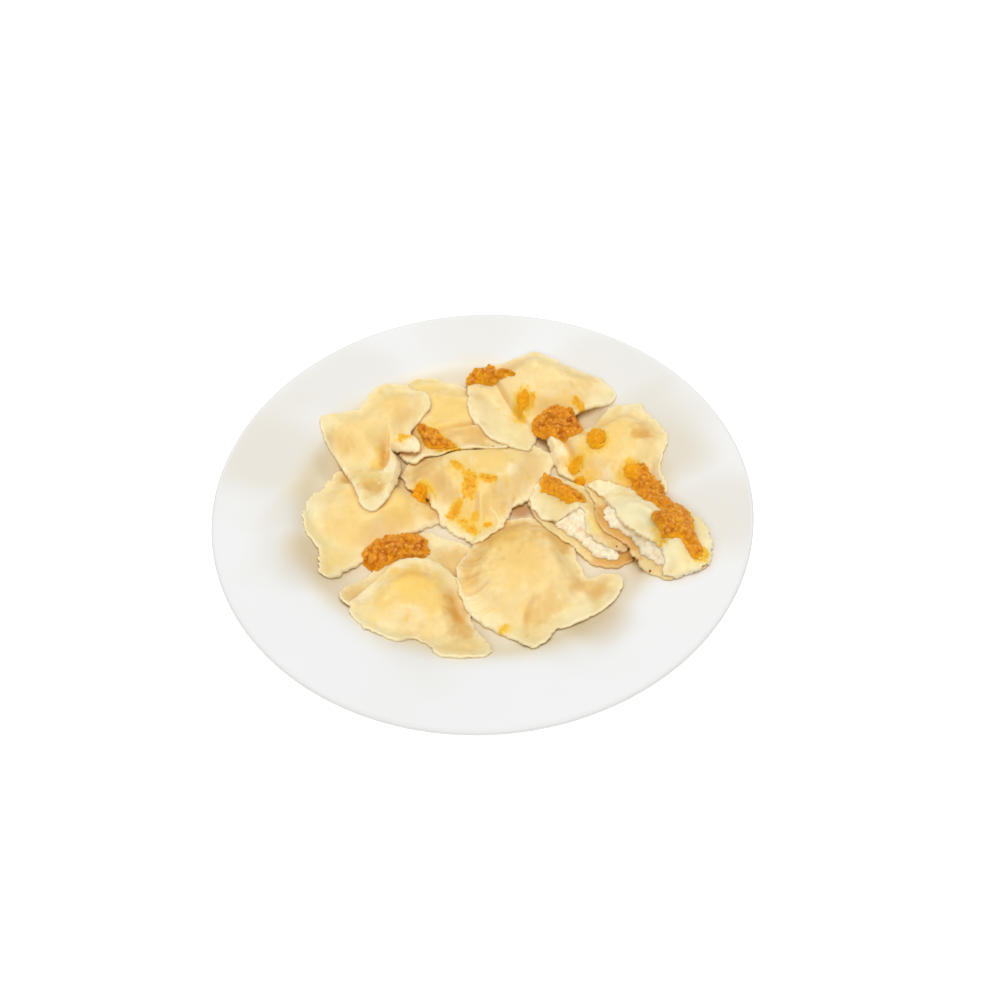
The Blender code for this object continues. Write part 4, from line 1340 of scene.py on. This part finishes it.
def face_directions(points, faces):
    """Outward direction at each point: the sum of its triangles' normals, at unit length."""
    corners = points[faces]
    normals = np.cross(corners[:, 1] - corners[:, 0], corners[:, 2] - corners[:, 0])
    total = np.zeros_like(points)
    for corner in range(3):
        np.add.at(total, faces[:, corner], normals)
    return total / np.maximum(np.linalg.norm(total, axis=1, keepdims=True), 1e-9)


def grain_shape():
    """One rounded grain of chopped onion, 1 across: a ball of four rings of six points.

    It is turned from the bottom up, so its triangles are turned over to look outward.
    """
    rows = np.radians([-50.0, -12.0, 25.0, 58.0])
    points, faces = turned(np.column_stack([np.cos(rows), np.sin(rows)]), -1.0, 1.0, 6)
    return 0.5 * points, faces[:, ::-1]


def scattered(shape, faces, places, sizes, random):
    """Copies of a shape at the places, each turned, stretched and sized at random, joined."""
    turns, _ = np.linalg.qr(random.normal(size=(len(places), 3, 3)))
    turns *= np.sign(np.linalg.det(turns))[:, None, None]
    stretch = sizes[:, None] * random.uniform(0.65, 1.3, (len(places), 3))
    copies = np.einsum("nij,nj,pj->npi", turns, stretch, shape) + places[:, None]
    shifts = len(shape) * np.arange(len(places))
    return copies.reshape(-1, 3), (faces[None] + shifts[:, None, None]).reshape(-1, 3)


def add_onion(name, ground, finish, seed):
    """A mound of fried onion: a lumpy core, laid on the map, with grains pressed into its top."""
    sizes = ONIONS[name]
    height, fresh = sizes["height"], sizes["fresh"]
    loop = ragged(sizes["outline"], ONION_ROUND, 0.4, seed)

    def levels(points, inward, broad, low, eased):
        depth = np.clip(inward, 0.0, None)
        edge = np.sqrt(np.clip(depth / 1.2, 0.0, 1.0))
        dome = (height - 2.0) * smoothstep(depth / 5.5) * (1.0 + 0.12 * waves(points, 7.0, seed))
        return low + edge + dome, low + 0.0 * depth

    laid = Laid(ground, loop, levels, stiffness=1.6, softness=1.0)
    points, faces, inward = laid.surface(ONION_SPACING)
    random = np.random.default_rng(seed)
    bumps = 1.15 * (lumps(points, 2.8, seed) - 0.45) + 0.35 * (lumps(points, 1.5, seed + 1) - 0.5)
    away = face_directions(points, faces)
    points = points + (bumps * smoothstep(inward))[:, None] * away
    yellow = fresh + 0.6 * np.exp(-np.clip(inward, 0.0, None) / 1.4) + 0.15 * waves(points, 6.0, seed)
    masks = {
        # grain: golden on the tops of the lumps and brown in the hollows, painted light and shade.
        "grain": np.clip(0.42 + 0.75 * bumps + 0.15 * waves(points, 3.5, seed + 2), 0.0, 1.0),
        "fresh": np.clip(yellow, 0.0, 1.0),
    }
    piece = add_piece(name + "_mash", points, faces, finish, masks)
    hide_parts(name)

    top = np.flatnonzero((away[:, 2] > 0.15) & (inward > 0.4))
    area = len(top) * ONION_SPACING**2 * THREE_WAY
    count = int(area * GRAINS_PER_MM2 * sizes["grains"])
    chosen = random.choice(top, count, replace=False)
    across = random.uniform(0.9, 2.0, count)
    places = points[chosen] - GRAIN_SUNK * across[:, None] * away[chosen]
    grains, grain_faces = scattered(*grain_shape(), places, across, random)
    per = len(grains) // count
    masks = {
        "grain": np.repeat(random.uniform(0.3, 1.0, count), per),
        "fresh": np.repeat(0.9 * (random.uniform(size=count) < 0.1 + 0.8 * fresh), per),
    }
    piece = add_piece(name + "_grains", grains, grain_faces, finish, masks)
    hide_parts(name)


def add_dabs(ground, finish):
    """Small dabs of soft onion in fat on the dough, each a low uneven lens, as one piece."""
    parts, start = [], 0
    for number, (x, y, half_length, half_width, turn, height) in enumerate(DABS):
        angle = np.linspace(0.0, 2.0 * math.pi, 40, endpoint=False)
        ring = np.column_stack([half_length * np.cos(angle), half_width * np.sin(angle)])
        spin = math.radians(turn)
        ring = ring @ np.array([[math.cos(spin), math.sin(spin)], [-math.sin(spin), math.cos(spin)]])
        loop = ragged(ring + (x, y), DAB_ROUND, 0.45, 700 + number)

        def levels(points, inward, broad, low, eased):
            depth = np.clip(inward, 0.0, None)
            uneven = 1.0 + 0.25 * waves(points, 2.4, 720 + number)
            return low + 0.05 + height * smoothstep(depth / 1.5) * uneven, low - 0.3 + 0.0 * depth

        laid = Laid(ground, loop, levels, stiffness=1.0, softness=0.8)
        points, faces, inward = laid.surface(DAB_SPACING, rim_rows=(0.2, 0.5))
        parts.append((points, faces + start, np.minimum(height, 1.2) * smoothstep(inward)))
        start += len(points)
    all_points, all_faces, lumpy = zip(*parts)
    points, faces, lumpy = np.vstack(all_points), np.vstack(all_faces), np.concatenate(lumpy)
    bumps = 0.4 * (lumps(points, 1.8, 31) - 0.4) * lumpy
    points = points + bumps[:, None] * face_directions(points, faces)
    masks = {"grain": np.full(len(points), 0.9), "fresh": np.full(len(points), 0.85)}
    add_piece("onion_dabs", points, faces, finish, masks)


def add_bits(ground, finish):
    """Small bits of onion lying on the soaked patches, closer together in their middles."""
    random = np.random.default_rng(77)
    places = []
    for x, y, half_length, half_width, turn, _, count in STAINS:
        reach, way = random.uniform(size=count) ** 0.7, random.uniform(0.0, 2.0 * math.pi, count)
        spin = math.radians(turn)
        along, aside = half_length * reach * np.cos(way), half_width * reach * np.sin(way)
        places.append(np.column_stack([
            x + along * math.cos(spin) - aside * math.sin(spin),
            y + along * math.sin(spin) + aside * math.cos(spin),
        ]))
    places = ground.on_top(np.vstack(places))
    sizes = random.uniform(1.0, 2.2, len(places))
    bits, faces = scattered(*grain_shape(), places - (0.0, 0.0, 0.1), sizes, random)
    per = len(bits) // len(places)
    low = np.repeat(places[:, 2], per)
    bits[:, 2] = low + 0.35 * (bits[:, 2] - low)
    masks = {
        "grain": np.repeat(random.uniform(0.5, 1.0, len(places)), per),
        "fresh": np.repeat(random.uniform(0.6, 1.0, len(places)), per),
    }
    add_piece("onion_bits", bits, faces, finish, masks)


def add_crumbs(ground, finishes):
    """Single small things: drops of fat, flecks of pepper, crumbs of dough and of browned onion."""
    for seed, (kind, finish) in enumerate(finishes.items()):
        random = np.random.default_rng(90 + seed)
        chosen = np.array([(x, y, size) for name, x, y, size in CRUMBS if name == kind])
        places = ground.on_top(chosen[:, :2]) + np.column_stack([0 * chosen[:, :2], 0.15 * chosen[:, 2]])
        points, faces = scattered(*grain_shape(), places, chosen[:, 2], random)
        add_piece(kind, points, faces, finish, {"grain": np.zeros(len(points))})


# ------------------------------------------------------------------------------------------ stage


def add_floor():
    """Plain pale floor."""
    half = 3.0
    mesh = bpy.data.meshes.new("floor")
    mesh.from_pydata([(-half, -half, 0), (half, -half, 0), (half, half, 0), (-half, half, 0)], [],
                     [(0, 1, 2, 3)])
    made = bpy.data.materials.new("floor_paper")
    made.use_nodes = True
    shader = made.node_tree.nodes["Principled BSDF"]
    shader.inputs["Base Color"].default_value = (0.98, 0.98, 0.98, 1.0)
    shader.inputs["Roughness"].default_value = 0.9
    shader.inputs["Specular IOR Level"].default_value = 0.0
    shader.inputs["Emission Color"].default_value = (1.0, 1.0, 1.0, 1.0)
    shader.inputs["Emission Strength"].default_value = 0.3
    mesh.materials.append(made)
    floor = bpy.data.objects.new("floor", mesh)
    bpy.context.scene.collection.objects.link(floor)


def add_light(name, place, size, power, tint):
    """Square soft light at a place, turned to the middle of the plate."""
    lamp = bpy.data.lights.new(name, "AREA")
    lamp.shape = "SQUARE"
    lamp.size = size
    lamp.energy = power
    lamp.color = tint
    obj = bpy.data.objects.new(name, lamp)
    obj.location = place
    obj.rotation_euler = (-Vector(place)).to_track_quat("-Z", "Y").to_euler()
    bpy.context.scene.collection.objects.link(obj)


def add_camera():
    """Camera 460 mm from its aim, 50 degrees above the table, rolled a little to the left."""
    tilt, roll, distance = math.radians(50.305), math.radians(-1.6465), 0.46
    aim = Vector((0.00887, -0.0100, 0.026))
    back = Vector((0.0, -math.cos(tilt), math.sin(tilt)))
    side, up = Vector((1.0, 0.0, 0.0)), Vector((0.0, math.sin(tilt), math.cos(tilt)))
    turned_side = side * math.cos(roll) + up * math.sin(roll)
    turned_up = up * math.cos(roll) - side * math.sin(roll)
    data = bpy.data.cameras.new("camera")
    data.sensor_width = 36.0
    data.lens = 33.222
    camera = bpy.data.objects.new("camera", data)
    turn = Matrix((turned_side, turned_up, back)).transposed().to_4x4()
    camera.matrix_world = Matrix.Translation(aim + back * distance) @ turn
    bpy.context.scene.collection.objects.link(camera)
    bpy.context.scene.camera = camera


def add_world(strength):
    """Even white surroundings."""
    world = bpy.data.worlds.new("world")
    world.use_nodes = True
    background = world.node_tree.nodes["Background"]
    background.inputs["Color"].default_value = (1.0, 0.99, 0.97, 1.0)
    background.inputs["Strength"].default_value = strength
    bpy.context.scene.world = world


def main():
    """Lays the food on the plate, from the lowest piece up, and sets the camera and the light."""
    dough, onion, filling = boiled_wheat_dough(), fried_onion(), cooked_filling()
    ground = HeightMap()
    pieces = [add_plate(glazed_porcelain())]
    for number, name in enumerate(LAYING_ORDER):
        seed = 100 * (number + 1)
        if name in HALVES:
            pieces += add_half(name, ground, dough, filling, seed)
        else:
            pieces += add_dumpling(name, ground, dough, seed)
    for number, name in enumerate(ONIONS):
        add_onion(name, ground, onion, 2000 + 10 * number)
    add_dabs(ground, onion)
    add_bits(ground, onion)
    add_crumbs(ground, {
        "fat_drops": melted_fat(), "pepper_flecks": red_pepper(), "dough_crumbs": dough,
        "onion_crumbs": onion,
    })
    add_painted_shade(pieces, ground)
    add_camera()
    add_floor()
    add_world(0.5)
    add_light("overhead_light", (0.2, 0.4, 3.1), 2.2, 52.0, (0.97, 0.99, 1.0))
    add_light("front_light", (-0.8, -2.3, 2.1), 2.4, 27.0, (1.0, 0.94, 0.84))
    bpy.context.scene.view_settings.view_transform = "Standard"


main()
